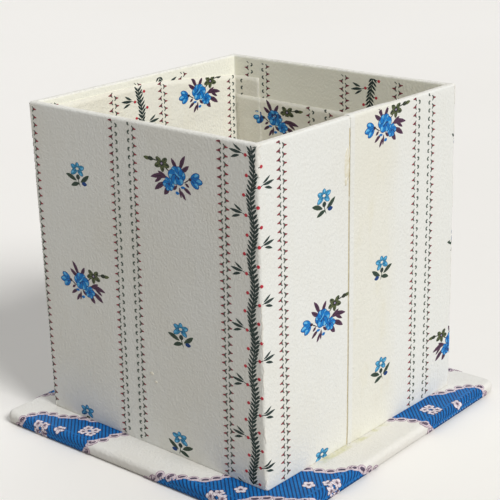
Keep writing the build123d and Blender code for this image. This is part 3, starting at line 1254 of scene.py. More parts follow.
@dataclass(frozen=True)
class PaperFinish:
    """Uncoated printed paper: warm white with fibres, dimples, a slight yellowing and handling marks.

    Places are in metres. seam_band is where old glue shows along the seam, as y at the right wall's
    foot, inside is painted light: a lighter, warmer colour for the paper within the cavity that stands
    in for light bounced off the lit inner walls, and stain is the glue on the plate.
    """

    name: str
    base: tuple[int, int, int] = (236, 237, 233)
    warm: tuple[int, int, int] = (229, 227, 216)
    soil: tuple[int, int, int] = (186, 176, 150)
    foot_soil: float = 0.0
    seam_band: Optional[tuple[float, float]] = None
    stain: bool = False
    inside: Optional[tuple[int, int, int]] = None
    rough: float = 0.82
    cavity: float = 0.0388
    right_face: tuple[float, float] = (0.0390, 0.0396)
    stain_across: tuple[tuple[float, float], tuple[float, float]] = ((0.0388, 0.0398), (0.0424, 0.0412))
    stain_along: tuple[tuple[float, float], tuple[float, float]] = ((-0.022, -0.018), (0.010, 0.006))

    def material(self) -> bpy.types.Material:
        """The paper's material, from Object coordinates."""
        n = Nodes(self.name)
        x, y, z = n.axes()
        warm, soil = tint(self.warm), tint(self.soil)
        cloud = n.noise(34.0, 3.0).rise(0.35, 0.72)
        fibre = n.noise(620.0, 4.0, (1.0, 1.0, 0.16))
        fleck = n.noise(900.0, 3.0).rise(0.62, 0.78)
        colour = n.mix(cloud * 0.42, tint(self.base), warm)
        colour = n.mix(fibre.rise(0.4, 0.75) * 0.16, colour, warm)
        colour = n.mix(fleck * 0.10, colour, soil)
        if self.seam_band is not None:
            colour = self.glue_band(n, colour, y + z * -0.02, x.rise(*self.right_face))
        # Painted light: within the cavity the paper is lightened and warmed towards inside, standing in for
        # light bounced off the lit inner walls.
        if self.inside is not None:
            soft, edge = self.cavity - 0.0004, self.cavity
            rise, fall = (-edge, -soft), (edge, soft)
            colour = n.mix(x.window(rise, fall) * y.window(rise, fall), colour, tint(self.inside))
        if self.foot_soil > 0.0:
            ragged = n.noise(240.0, 4.0)
            low_down = (z + ragged * 0.012).rise(0.016, 0.006) * ragged.rise(0.42, 0.7)
            colour = n.mix(low_down * self.foot_soil, colour, soil)
        if self.stain:
            patch = x.window(*self.stain_across) * y.window(*self.stain_along)
            patch = patch * n.noise(190.0, 3.0).rise(0.35, 0.6)
            colour = n.mix(patch * 0.7, colour, tint((206, 204, 152)))
        rub = n.noise(55.0, 5.0, roughness=0.7).rise(0.58, 0.78)
        colour = n.mix(rub * 0.10, colour, soil)
        dimple = n.noise(1500.0, 2.0, (1.0, 1.0, 0.8), roughness=0.5)
        grain = n.noise(560.0, 2.0, (1.0, 1.0, 0.6))
        relief = (dimple * 0.72 + grain * 0.28, 0.00028, 1.0)
        return n.finish(colour, self.rough + (fibre - 0.5) * 0.16, relief, 0.28)

    def glue_band(self, n: Nodes, colour: Any, lean: Value, side: Value) -> Any:
        """Yellowing and patches of old glue along the seam.

        Args:
            n: the material's nodes.
            colour: the paper's colour so far.
            lean: y, corrected for the seam's lean.
            side: 1 on the right wall's outer face.

        Returns:
            The colour's socket.
        """
        low, high = self.seam_band
        band = lean.window((low - 0.0004, low + 0.0002), (high + 0.0050, high - 0.0040)) * side
        colour = n.mix(band * 0.45, colour, tint((234, 231, 214)))
        glue = n.noise(160.0, 3.0, (1.0, 1.0, 0.35)).rise(0.55, 0.72) * band
        return n.mix(glue * 0.16, colour, tint((226, 218, 182)))


@dataclass(frozen=True)
class FleckFinish:
    """A plain stuff in two tints by one noise, whose roughness and dimples follow it, with dirt if given."""

    name: str
    dark: tuple[int, int, int]
    light: tuple[int, int, int]
    scale: float
    detail: float
    blend: tuple[float, float]
    dull: tuple[float, float]
    roughness: float = 0.7
    relief: Optional[tuple[float, float]] = None
    dirt: Optional[tuple[int, int, int]] = None

    def material(self) -> bpy.types.Material:
        """The material, from Object coordinates."""
        n = Nodes(self.name)
        fleck = n.noise(self.scale, self.detail, roughness=self.roughness)
        colour = n.mix(fleck.rise(*self.blend), tint(self.dark), tint(self.light))
        if self.dirt is not None:
            colour = n.mix(n.noise(90.0, 4.0).rise(0.55, 0.78) * 0.30, colour, tint(self.dirt))
        base, spread = self.dull
        relief = None if self.relief is None else (fleck, *self.relief)
        return n.finish(colour, base + (fleck - 0.5) * spread, relief)


GREYBOARD = FleckFinish("greyboard", (150, 143, 130), (176, 169, 154), 700.0, 5.0, (0.35, 0.7), (0.86, 0.15),
                        relief=(0.00012, 0.7))
BARE_FIBRE = FleckFinish("bare_fibre", (228, 226, 218), (247, 246, 240), 1100.0, 4.0, (0.35, 0.7), (0.9, 0.1),
                         relief=(0.00012, 0.8), dirt=(190, 182, 164))
DRIED_GLUE = FleckFinish("dried_glue", (227, 222, 200), (236, 233, 220), 900.0, 2.0, (0.4, 0.6), (0.22, 0.15),
                         roughness=0.55)


# What is printed on the cover, by wall in OUTSIDE_ORDER, each row with its distance along the wall
# at the rim first. Stitch columns go on with their lean over the wall's height and their files,
# vines with their lean and phase, motifs with y, whether they are mirrored, and their kind.
COVER_STITCHES = (
    ((1.0, -1.0, BUD_KNOT), (32.5, -2.5, KNOT_BUD), (38.8, -2.3, BUD_KNOT), (69.3, -1.5, KNOTS)),
    ((8.2, -0.9, KNOTS), (62.3, -1.3, KNOT_BUD), (68.7, -1.2, BUD_KNOT)),
    ((17.5, -1.6, KNOTS), (36.0, -1.6, KNOTS), (65.8, -1.8, KNOT_BUD), (72.0, -1.8, BUD_KNOT)),
    ((24.5, -1.8, KNOTS), (43.0, -1.8, KNOTS), (73.5, -1.4, KNOT_BUD)))
COVER_VINES = (((78.5, -2.5, 2.2),), (), ((26.5, -1.6, 1.0),), ((33.5, -1.8, 9.0),))
COVER_MOTIFS = (
    ((17.5, 17.0, False, SPRIG), (16.0, 47.5, False, BOUQUET), (14.0, 87.0, False, SPRIG),
     (54.0, 12.0, True, BOUQUET), (52.5, 53.0, False, SPRIG), (50.5, 84.0, True, SPRIG)),
    ((23.5, 19.0, False, SPRIG), (22.5, 49.5, False, BOUQUET), (21.5, 88.0, False, SPRIG),
     (48.0, 5.0, False, BOUQUET), (47.0, 42.5, True, SPRIG), (46.5, 71.0, False, SPRIG),
     (80.5, 74.0, True, BOUQUET), (82.0, 43.5, False, SPRIG), (83.0, 13.5, True, SPRIG)),
    ((51.0, 26.0, True, BOUQUET), (50.0, 65.0, False, SPRIG), (88.5, 14.0, True, SPRIG),
     (87.5, 45.0, False, BOUQUET), (86.5, 84.0, False, SPRIG)),
    ((59.0, 13.0, True, BOUQUET), (57.5, 52.0, False, SPRIG), (56.5, 82.0, True, SPRIG)))
# Beads of glue as (wall, distance along it, y, half width, half height, how far they stand up).
GLUE_BEADS = ((1, 32.6, 11.8, 1.05, 4.2, 0.06), (1, 32.2, 15.9, 0.5, 1.1, 0.2),
              (1, 33.5, 8.6, 0.22, 1.6, 0.1), (1, 33.4, 20.6, 0.2, 0.7, 0.08),
              (0, 41.2, 66.6, 0.7, 0.5, 0.14), (0, 42.6, 68.6, 0.5, 0.42, 0.12),
              (1, 33.1, 47.0, 0.16, 0.9, 0.06))
ANYWHERE = 1e4


@dataclass
class CoverPieces:
    """The outer cover and everything printed and worn on it."""

    box: BoxSizes
    press: PrintPress
    paper: bpy.types.Material
    fibre: bpy.types.Material
    glue: bpy.types.Material
    sheet: CoverSheet = field(init=False)
    pitch: float = 1.6
    seam_wall: int = 1
    motif_turn: float = -1.2
    hem: float = 0.35

    def __post_init__(self) -> None:
        """Makes the sheet's mapping."""
        self.sheet = CoverSheet(self.box)

    @property
    def side(self) -> float:
        """The width of a wall outside."""
        return 2.0 * self.box.half

    @property
    def far(self) -> float:
        """Where the print ends at the foot."""
        return self.sheet.drop - self.hem

    @property
    def inner_end(self) -> float:
        """Where the print ends inside, as a y of the sheet."""
        return self.sheet.inside_end + 0.4

    def rows(self) -> Array:
        """Places down the sheet, from its end inside to its end under the foot, closer on the folds."""
        s = self.sheet
        ends = [(s.path.arc_at(run, 0.0), s.path.arc_at(run, 1.0)) for run in range(4)]
        runs = [np.linspace(a, b, max(3, int((b - a) / self.pitch))) for a, b in ends]
        stations = np.unique(np.round(np.concatenate([*runs, s.path.arc[1:-1]]), 5))
        return (s.rim_arc - stations)[::-1]

    def columns(self) -> Array:
        """Distances round the sheet, closer at the corners."""
        side, corner = self.side, self.sheet.corner
        flat = np.linspace(corner, side - corner, int(side / self.pitch))
        bend = np.linspace(-corner, corner, 9)[1:-1]
        one = np.concatenate([bend[bend >= 0.0], flat, side + bend[bend < 0.0]])
        return np.concatenate([one + side * k for k in range(4)])

    def build_paper(self) -> bpy.types.Object:
        """The sheet itself: one closed band round the box and the overlap's second layer."""
        s = self.sheet
        u, y = np.meshgrid(self.columns(), self.rows(), indexing="ij")
        band = shell(s.place(u, y, 0.0), s.place(u, y, -SHELL_SHARE * self.box.sheet), wrap=True)
        points, quads = merged([band, self.overlap()])
        piece = make_piece("outer_cover_paper", points, quads, [self.paper], weld=True)
        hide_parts("outer_cover")
        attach(piece, "root")
        return piece

    def overlap(self) -> Mesh:
        """The second layer: from the free edge on, closer there, to where it sinks back into the band."""
        s, down = self.sheet, self.rows()
        down = down[(down >= -(self.box.wall * 0.5 + 0.6)) & (down <= s.drop - 0.1)]
        run = np.concatenate([[0.0, 0.15], np.linspace(0.8, s.lap + 3.6, 24)])
        r, d = np.meshgrid(run, down, indexing="ij")
        around = s.seam(d) + r
        sink = 0.012 * smooth_step(r, s.lap + 1.0, s.lap + 3.4)
        return shell(s.on_lap(around, d, -sink), s.place(around, d, -0.05))

    def spread(self, table: Sequence[Sequence[tuple]]) -> list[tuple]:
        """The rows of a table by wall, with the first number made a distance round the box."""
        return [(self.side * wall + row[0], *row[1:]) for wall, rows in enumerate(table) for row in rows]

    def standing(self) -> list[tuple[float, Marks]]:
        """Every column and motif of the cover in its place, each with the u at which it stands."""
        far, top = self.far, self.inner_end
        placed = [(u, self.lean(Sprigs.stitches(far, top, files), u, lean))
                  for u, lean, files in self.spread(COVER_STITCHES)]
        placed += [(u, self.lean(Sprigs.vine(far, top, phase), u, lean))
                   for u, lean, phase in self.spread(COVER_VINES)]
        return placed + [(u, Sprigs.motif(kind).moved(u, y, mirror, self.motif_turn))
                         for u, y, mirror, kind in self.spread(COVER_MOTIFS)]

    def lean(self, marks: Marks, u: float, lean: float) -> Marks:
        """The marks of a column about x = 0, moved to u and leant over.

        Args:
            marks: the column.
            u: where it stands at the rim.
            lean: how far it leans over the height of the wall.

        Returns:
            New marks.
        """
        line = marks.line.copy()
        line[..., 0] += u + lean * np.clip(line[..., 1], 0.0, None) / self.sheet.drop
        return replace(marks, line=line)

    def cut(self, u: float, marks: Marks, wall: int) -> list[Run]:
        """The parts of a column or motif that show, inside the rim and outside.

        On the seam's wall the outside part lies on the overlap if it stands well past the seam, and
        otherwise stops at its free edge. The linings of the side walls start higher.

        Args:
            u: where it stands.
            marks: its marks.
            wall: the wall it stands on.

        Returns:
            The two parts with their mapping and edges.
        """
        s, seam_u = self.sheet, self.side + self.sheet.seam_from_corner
        deep = self.inner_end if wall in (0, 2) else -(self.box.wall + 6.5)
        crest = -(self.box.wall + 0.75)
        inside = (marks.between(1, deep, crest), s.place, SheetEdges(-ANYWHERE, ANYWHERE, deep, crest))
        marks, place = marks.between(1, self.hem, self.far), s.place
        left, right = -ANYWHERE, ANYWHERE
        if wall == self.seam_wall and u > seam_u + 8.0:
            marks, place = marks.between(0, seam_u - 4.0, ANYWHERE), s.on_lap
            left = partial(s.seam, gap=0.06)
        elif wall == self.seam_wall and u >= seam_u - 12.0:
            marks = marks.between(0, -ANYWHERE, seam_u)
            right = partial(s.seam, gap=-0.05)
        return [inside, (marks, place, SheetEdges(left, right, self.hem, self.far))]

    def seam_glue_and_shadow_line(self) -> Run:
        """The thin line along the overlap's free edge: old glue, with a painted shadow of that edge on the
        sheet below it.
        """
        y = np.linspace(self.hem, self.far, 24)
        line = np.stack([self.sheet.seam(y) - 0.19, y], axis=1)
        edges = SheetEdges(-ANYWHERE, ANYWHERE, self.hem, self.far)
        return bars(line[:-1], line[1:], 0.34, Ink.SEAM), self.sheet.place, edges

    def build_print(self) -> list[bpy.types.Object]:
        """The print, one object a wall: stitch columns, vines and motifs, cut at the sheet's edges."""
        groups: list[list[Run]] = [[], [], [], []]
        for u, marks in self.standing():
            wall = int(u // self.side) % 4
            groups[wall] += self.cut(u, marks, wall)
        groups[self.seam_wall].append(self.seam_glue_and_shadow_line())
        return [self.press.print_piece(f"print_cover_{name}", [run for run in runs if len(run[0].line)])
                for name, runs in zip(("front", "right", "back", "left"), groups)]

    def build_wear(self) -> bpy.types.Object:
        """Bare fibre along the rim and down the corners, where handling has worn the print away.

        Each corner has a long patch at the top, seven small ones at random and a wide one at the
        foot.
        """
        draw = np.random.default_rng(17)
        parts = [self.rim_band()]
        for k in range(4):
            spots = [(0.3, draw.uniform(5.0, 9.0), 0.75)]
            spots += [(draw.uniform(9.0, 80.0), draw.uniform(2.0, 9.0), draw.uniform(0.12, 0.36))
                      for _ in range(7)]
            spots.append((self.sheet.drop - 3.2, 3.0, 0.6))
            parts += [self.corner_patch(k, *spot) for spot in spots]
        points, quads = merged(parts)
        piece = make_piece("worn_edges", points, quads, [self.fibre], weld=True)
        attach(piece, "root")
        return piece

    def rim_band(self) -> Mesh:
        """The band over the rim's fold, from a ragged line outside to a ragged line inside.

        It is wider at the corners, and widest at the frayed left one. Its lift is a tuft of ripples
        times the root of a sine across the band.
        """
        s, side = self.sheet, self.side
        u = np.linspace(0.0, 4.0 * side, 640, endpoint=False)
        near = np.abs(np.mod(u + side / 2.0, side) - side / 2.0)
        corner = np.exp(-((near / 1.6) ** 2))
        frayed = np.exp(-(((u + side) % (4.0 * side) - side) / 2.6) ** 2)
        knocks = 0.40 * np.clip(ripple(u, 4.3, 4), 0.05, 1.0)
        outside = 0.14 + 0.12 * ripple(u, 23.0, 3) + knocks + 0.6 * corner
        outside = outside + frayed * (2.0 + 1.1 * ripple(u, 2.1, 13))
        inside = 0.20 + 0.14 * ripple(u, 17.0, 6) + 0.3 * corner
        width = self.box.wall - 2.0 * s.rim_fold + math.pi * s.rim_fold / 2.0
        share = np.linspace(0.0, 1.0, 11)
        y = outside[:, None] + (-width - inside - outside)[:, None] * share[None]
        tuft = 0.020 + 0.007 * (ripple(u, 6.3, 9)[:, None] + ripple(y * 3.0 + u[:, None], 5.1, 10))
        lift = tuft * np.sin(math.pi * share)[None] ** 0.5 + 0.001
        uu = np.broadcast_to(u[:, None], y.shape)
        seam_run = uu - s.seam(y)
        lap = np.where((seam_run > 0.0) & (y > -(self.box.wall * 0.5 + 0.4)), s.lap_share(seam_run), 0.0)
        front, back = s.place(uu, y, lift, lap), s.place(uu, y, lift - 0.03, lap)
        return shell(front[:, ::-1], back[:, ::-1], wrap=True)

    def corner_patch(self, corner: int, start: float, length: float, wide: float) -> Mesh:
        """A worn patch down a corner: a lens with ragged sides, highest along its middle.

        Args:
            corner: the number of the wall whose left end it is.
            start, length: y of its top, and how far down it goes.
            wide: its greatest half width.

        Returns:
            The closed shell.
        """
        s = self.sheet
        v = np.linspace(start, min(start + length, s.drop - 0.2), max(8, int(length * 3)))
        t, across = np.linspace(0.0, 1.0, len(v)), np.linspace(-1.0, 1.0, 7)
        ragged = 1.0 + 0.5 * ripple(v, 1.9, 40 + corner)
        half = wide * np.sin(math.pi * np.clip(t, 0.02, 0.98)) ** 0.5 * ragged
        middle = self.side * corner + 0.35 * ripple(v, 6.0, 50 + corner)
        u = middle[None, :] + across[:, None] * half[None, :]
        y = np.broadcast_to(v[None, :], u.shape)
        up = 0.055 * (1.0 - across**2)[:, None] + 0.0 * u + 0.02
        return shell(s.place(u, y, up), s.place(u, y, up - 0.05))

    def build_glue(self) -> bpy.types.Object:
        """Dried beads of glue by the seam and on the front wall."""
        points, quads = merged([self.bead(*bead) for bead in enumerate(GLUE_BEADS)])
        piece = make_piece("glue_beads", points, quads, [self.glue], weld=True)
        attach(piece, "root")
        return piece

    def bead(self, number: int, row: Sequence[float]) -> Mesh:
        """A low dome of glue with a wandering outline, its height the root of 1 less radius squared.

        Args:
            number: the bead's number, which picks its outline.
            row: its row of GLUE_BEADS.

        Returns:
            The closed shell.
        """
        wall, along, y, wide, tall, high = row
        angle = np.linspace(0.0, 2.0 * math.pi, 20, endpoint=False)
        rings = np.linspace(0.0, 1.0, 7)
        c, s = np.cos(angle), np.sin(angle)
        r = rings[None, :] * (1.0 + 0.16 * ripple(c * 3.0 + s * 2.0, 5.0, 70 + number))[:, None]
        u = self.side * wall + along + wide * r * c[:, None]
        down = y + tall * r * s[:, None]
        up = high * np.sqrt(np.clip(1.0 - rings**2, 0.0, 1.0))[None, :] + 0.0 * u
        place = self.sheet.place
        points, quads = shell(place(u, down, up + 0.004), place(u, down, -0.02), wrap=True)
        return points, quads[:, ::-1]


@dataclass
class LiningPieces:
    """The four wall linings and the floor's, with their print."""

    box: BoxSizes
    press: PrintPress
    paper: bpy.types.Material
    floor_paper: bpy.types.Material
    sheets: LiningSheets = field(init=False)
    floor: FloorSheet = field(init=False)
    pitch: float = 1.6
    hem: float = 0.3

    def __post_init__(self) -> None:
        """Makes the mappings."""
        self.sheets = LiningSheets(self.box)
        self.floor = FloorSheet(self.box)

    def side_top(self, u: Array, first: float, mirrored: bool) -> Array:
        """How far down a side lining starts at each u, where mirrored is for a wall met from the back."""
        return self.sheets.top_of_side(self.sheets.side - (u - first) if mirrored else u - first)

    def end_top(self, u: Array, first: float, sign: float) -> Array:
        """How far down an end lining starts at each u, where sign is 1 if u runs along +X, and -1 if not."""
        return self.sheets.top_of_end(sign * (u - first - self.box.inner_half))

    def lay(self, name: str, u: Array, top: Array, place: Place) -> bpy.types.Object:
        """A wall lining, as a shell from its top edge to the floor.

        Args:
            name: the CAD node it stands for.
            u, top: distances round, and how far down the lining starts at each.
            place: its mapping.

        Returns:
            The piece.
        """
        bottom = self.sheets.bottom
        share = np.linspace(0.0, 1.0, int(bottom / self.pitch))
        y = top[:, None] + (bottom - top)[:, None] * share[None]
        uu = np.broadcast_to(u[:, None], y.shape)
        points, quads = shell(place(uu, y, 0.0), place(uu, y, -SHELL_SHARE * self.box.sheet))
        piece = make_piece(f"{name}_paper", points, quads, [self.paper], weld=True)
        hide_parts(name)
        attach(piece, "root")
        return piece

    def build_side(self, name: str, first: float, mirrored: bool) -> bpy.types.Object:
        """A side lining with its two flanges.

        Args:
            name: the CAD node it stands for.
            first: the u of its wall's left corner.
            mirrored: whether that corner is the back one.

        Returns:
            The piece.
        """
        s = self.sheets
        side, flange, c = s.side, s.flange, s.corner
        bend, flat = np.linspace(-c, c, 9), np.linspace(c, side - c, int(side / self.pitch))
        flanges = [np.linspace(-flange, -c, 9), np.linspace(side + c, side + flange, 9)]
        u = np.unique(np.concatenate([*flanges, bend, flat, side + bend])) + first
        return self.lay(name, u, self.side_top(u, first, mirrored), s.place)

    def build_end(self, name: str, first: float, sign: float) -> bpy.types.Object:
        """An end lining over the flanges.

        Args:
            name: the CAD node it stands for.
            first: the u of its wall's left corner.
            sign: 1 where u runs along +X, -1 where it runs along -X.

        Returns:
            The piece.
        """
        s = self.sheets
        gap = 2.0 * self.box.sheet + s.play
        edge, step = np.linspace(gap, s.flange - 0.15, 8), np.linspace(s.flange - 0.1, s.flange + 0.5, 6)
        flat = np.linspace(s.flange + 0.6, s.side - s.flange - 0.6, 44)
        u = np.unique(np.concatenate([edge, step, flat, s.side - step, s.side - edge])) + first
        return self.lay(name, u, self.end_top(u, first, sign), s.on_end)

    def build_floor(self) -> bpy.types.Object:
        """The floor's lining."""
        f = self.floor
        line = np.linspace(-f.half, f.half, 50)
        x, y = np.meshgrid(line, line, indexing="ij")
        points, quads = shell(f.place(x, y, 0.0), f.place(x, y, -SHELL_SHARE * self.box.sheet))
        piece = make_piece("floor_lining_paper", points, quads, [self.floor_paper])
        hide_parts("floor_lining")
        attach(piece, "root")
        return piece

    @staticmethod
    def standing(first: float, stitches: Sequence[tuple[float, Files]], vine: tuple[float, float],
                 motifs: Sequence[tuple], top: float, bottom: float) -> list[Marks]:
        """The marks of a lining from its columns' places.

        Args:
            first: the u of its wall's left corner, from which all places count.
            stitches: each stitch column's place and files.
            vine: the vine's place and the phase of its sprigs.
            motifs: each motif's place, y, whether it is mirrored, and its kind.
            top, bottom: where the columns start and end.

        Returns:
            The marks.
        """
        marks = [Sprigs.stitches(bottom, top, files).moved(first + u, 0.0) for u, files in stitches]
        marks.append(Sprigs.vine(bottom, top, vine[1]).moved(first + vine[0], 0.0))
        return marks + [Sprigs.motif(kind).moved(first + u, y, mirror) for u, y, mirror, kind in motifs]

    def print_wall(self, name: str, marks: Sequence[Marks], place: Place, top: Callable[[Array], Array],
                   ends: tuple[float, float]) -> bpy.types.Object:
        """One wall lining's print.

        Args:
            name: the wall's name.
            marks: its marks, of which those above the lining's top edge are left out.
            place: its mapping.
            top: how far down the lining starts at each u.
            ends: the lining's left and right ends.

        Returns:
            The object.
        """
        edges = SheetEdges(*ends, top, self.sheets.bottom - self.hem)
        runs = []
        for group in marks:
            middle = group.line.mean(axis=1)
            runs.append((group.only(middle[:, 1] > top(middle[:, 0]) + 0.1), place, edges))
        return self.press.print_piece(f"print_lining_{name}", runs)

    def print_side(self, name: str, first: float, mirrored: bool) -> bpy.types.Object:
        """The print of a side lining and its flanges.

        Args:
            name: the wall's name.
            first: the u of its left corner.
            mirrored: whether that corner is the back one.

        Returns:
            The object.
        """
        s = self.sheets
        side, end = s.side, s.flange - 0.1
        stitches = ((26.0, KNOTS), (45.0, KNOTS), (74.0, KNOT_BUD), (side + 4.0, BUD_LEFT), (-4.5, BUD_RIGHT))
        motifs = ((60.0, 9.0, False, BOUQUET), (60.0, 48.0, True, SPRIG), (60.5, 78.0, False, SPRIG),
                  (10.5, 26.0, True, SPRIG), (10.0, 57.0, True, BOUQUET), (-5.0, 20.0, False, SPRIG),
                  (side + 8.0, 40.0, True, SPRIG))
        marks = self.standing(first, stitches, (36.0, 6.0), motifs, s.level_drop + 0.3, s.bottom - self.hem)
        top = partial(self.side_top, first=first, mirrored=mirrored)
        return self.print_wall(name, marks, s.place, top, (first - end, first + side + end))

    def print_end(self, name: str, first: float, sign: float) -> bpy.types.Object:
        """The print of an end lining.

        Args:
            name: the wall's name.
            first: the u of its left corner.
            sign: 1 where u runs along +X, -1 where it runs along -X.

        Returns:
            The object.
        """
        s = self.sheets
        gap = 2.0 * self.box.sheet + s.play + 0.05
        motifs = ((16.0, 18.0, False, BOUQUET), (15.5, 57.0, True, SPRIG), (52.5, 30.0, False, SPRIG),
                  (52.0, 61.0, True, BOUQUET))
        marks = self.standing(first, ((30.0, KNOT_BUD), (36.5, BUD_KNOT), (67.0, KNOTS)), (75.0, 4.0), motifs,
                              s.end_drop_left + 0.3, s.bottom - self.hem)
        top = partial(self.end_top, first=first, sign=sign)
        return self.print_wall(name, marks, s.on_end, top, (first + gap, first + s.side - gap))

    def print_floor(self) -> bpy.types.Object:
        """The floor's print."""
        half = self.floor.half - 0.1
        stitches = ((-33.0, KNOT_BUD), (-26.7, BUD_KNOT), (4.0, KNOTS), (23.0, KNOTS))
        motifs = ((-11.5, -12.0, False, BOUQUET), (-12.0, 25.0, True, SPRIG), (33.0, 20.0, True, BOUQUET),
                  (32.5, -16.0, False, SPRIG))
        marks = self.standing(0.0, stitches, (13.5, 2.0), motifs, -half, half)
        edges = SheetEdges(-half, half, -half, half)
        return self.press.print_piece("print_floor", [(group, self.floor.place, edges) for group in marks])

    def build_all(self) -> None:
        """Makes the five linings and their print."""
        side = self.sheets.side
        self.build_side("lining_left", 0.0, False)
        self.build_side("lining_right", 2.0 * side, True)
        self.build_end("lining_back", side, 1.0)
        self.build_end("lining_front", 3.0 * side, -1.0)
        self.build_floor()
        self.print_side("left", 0.0, False)
        self.print_side("right", 2.0 * side, True)
        self.print_end("back", side, 1.0)
        self.print_end("front", 3.0 * side, -1.0)
        self.print_floor()


# The upper and lower edges of the two kinds of ribbon, as (distance along, distance across).
RIBBON_EDGES = (
    (((-20, 44), (36, 42), (43.8, 43.8), (49.5, 46.7), (56, 49.1), (62.9, 47.4), (72, 45.5), (81.7, 47.0),
      (87.5, 49.0), (95.8, 47.7), (104, 45), (120, 48), (170, 46)),
     ((-20, 60), (14, 59.2), (32, 61.5), (50, 57), (60, 60.6), (68.6, 58.6), (79, 61.2), (95, 58),
      (112, 61.5), (131, 59.5), (150, 61), (170, 60))),
    (((-20, 8), (4, 6.6), (12, 4.0), (20.5, 7.8), (29, 11.4), (42, 7), (52, 4.6), (62, 8.4), (74, 10.8),
      (84, 6.6), (95, 4.4), (112, 9.6), (124.8, 7.4), (133.5, 4.0), (145, 8), (170, 8)),
     ((-20, 20), (12, 22.4), (23, 24.2), (29, 21.9), (34, 19.2), (42, 17.6), (62, 22), (84, 18.4),
      (102, 18.6), (110, 21), (120, 25), (133, 22), (145, 20), (170, 20))))
# Flowers that the photo shows, as (distance along, distance across, how many), by ribbon.
SEEN_FLOWERS = {1: ((11.7, 11.0, 4), (17.7, 14.2, 1), (25.8, 16.6, 4), (38.0, 13.0, 1), (120.2, 17.0, 4),
                    (128.3, 13.8, 1)),
                2: ((58.0, 56.6, 4), (64.3, 54.5, 1), (81.3, 54.4, 1), (87.7, 55.2, 4), (44.0, 51.0, 1))}
# The marks of a scallop, as (half length, inwards from its line, width, fullness, ink), lowest first.
SCALLOP = ((1.5, 0.0, 2.5, ROUND, Ink.LACE_SHADE), (1.38, 0.07, 2.24, ROUND, Ink.LACE),
           (1.02, 0.06, 1.3, ROUND, Ink.LOOP), (1.45, 0.74, 0.66, OVAL, Ink.LACE))


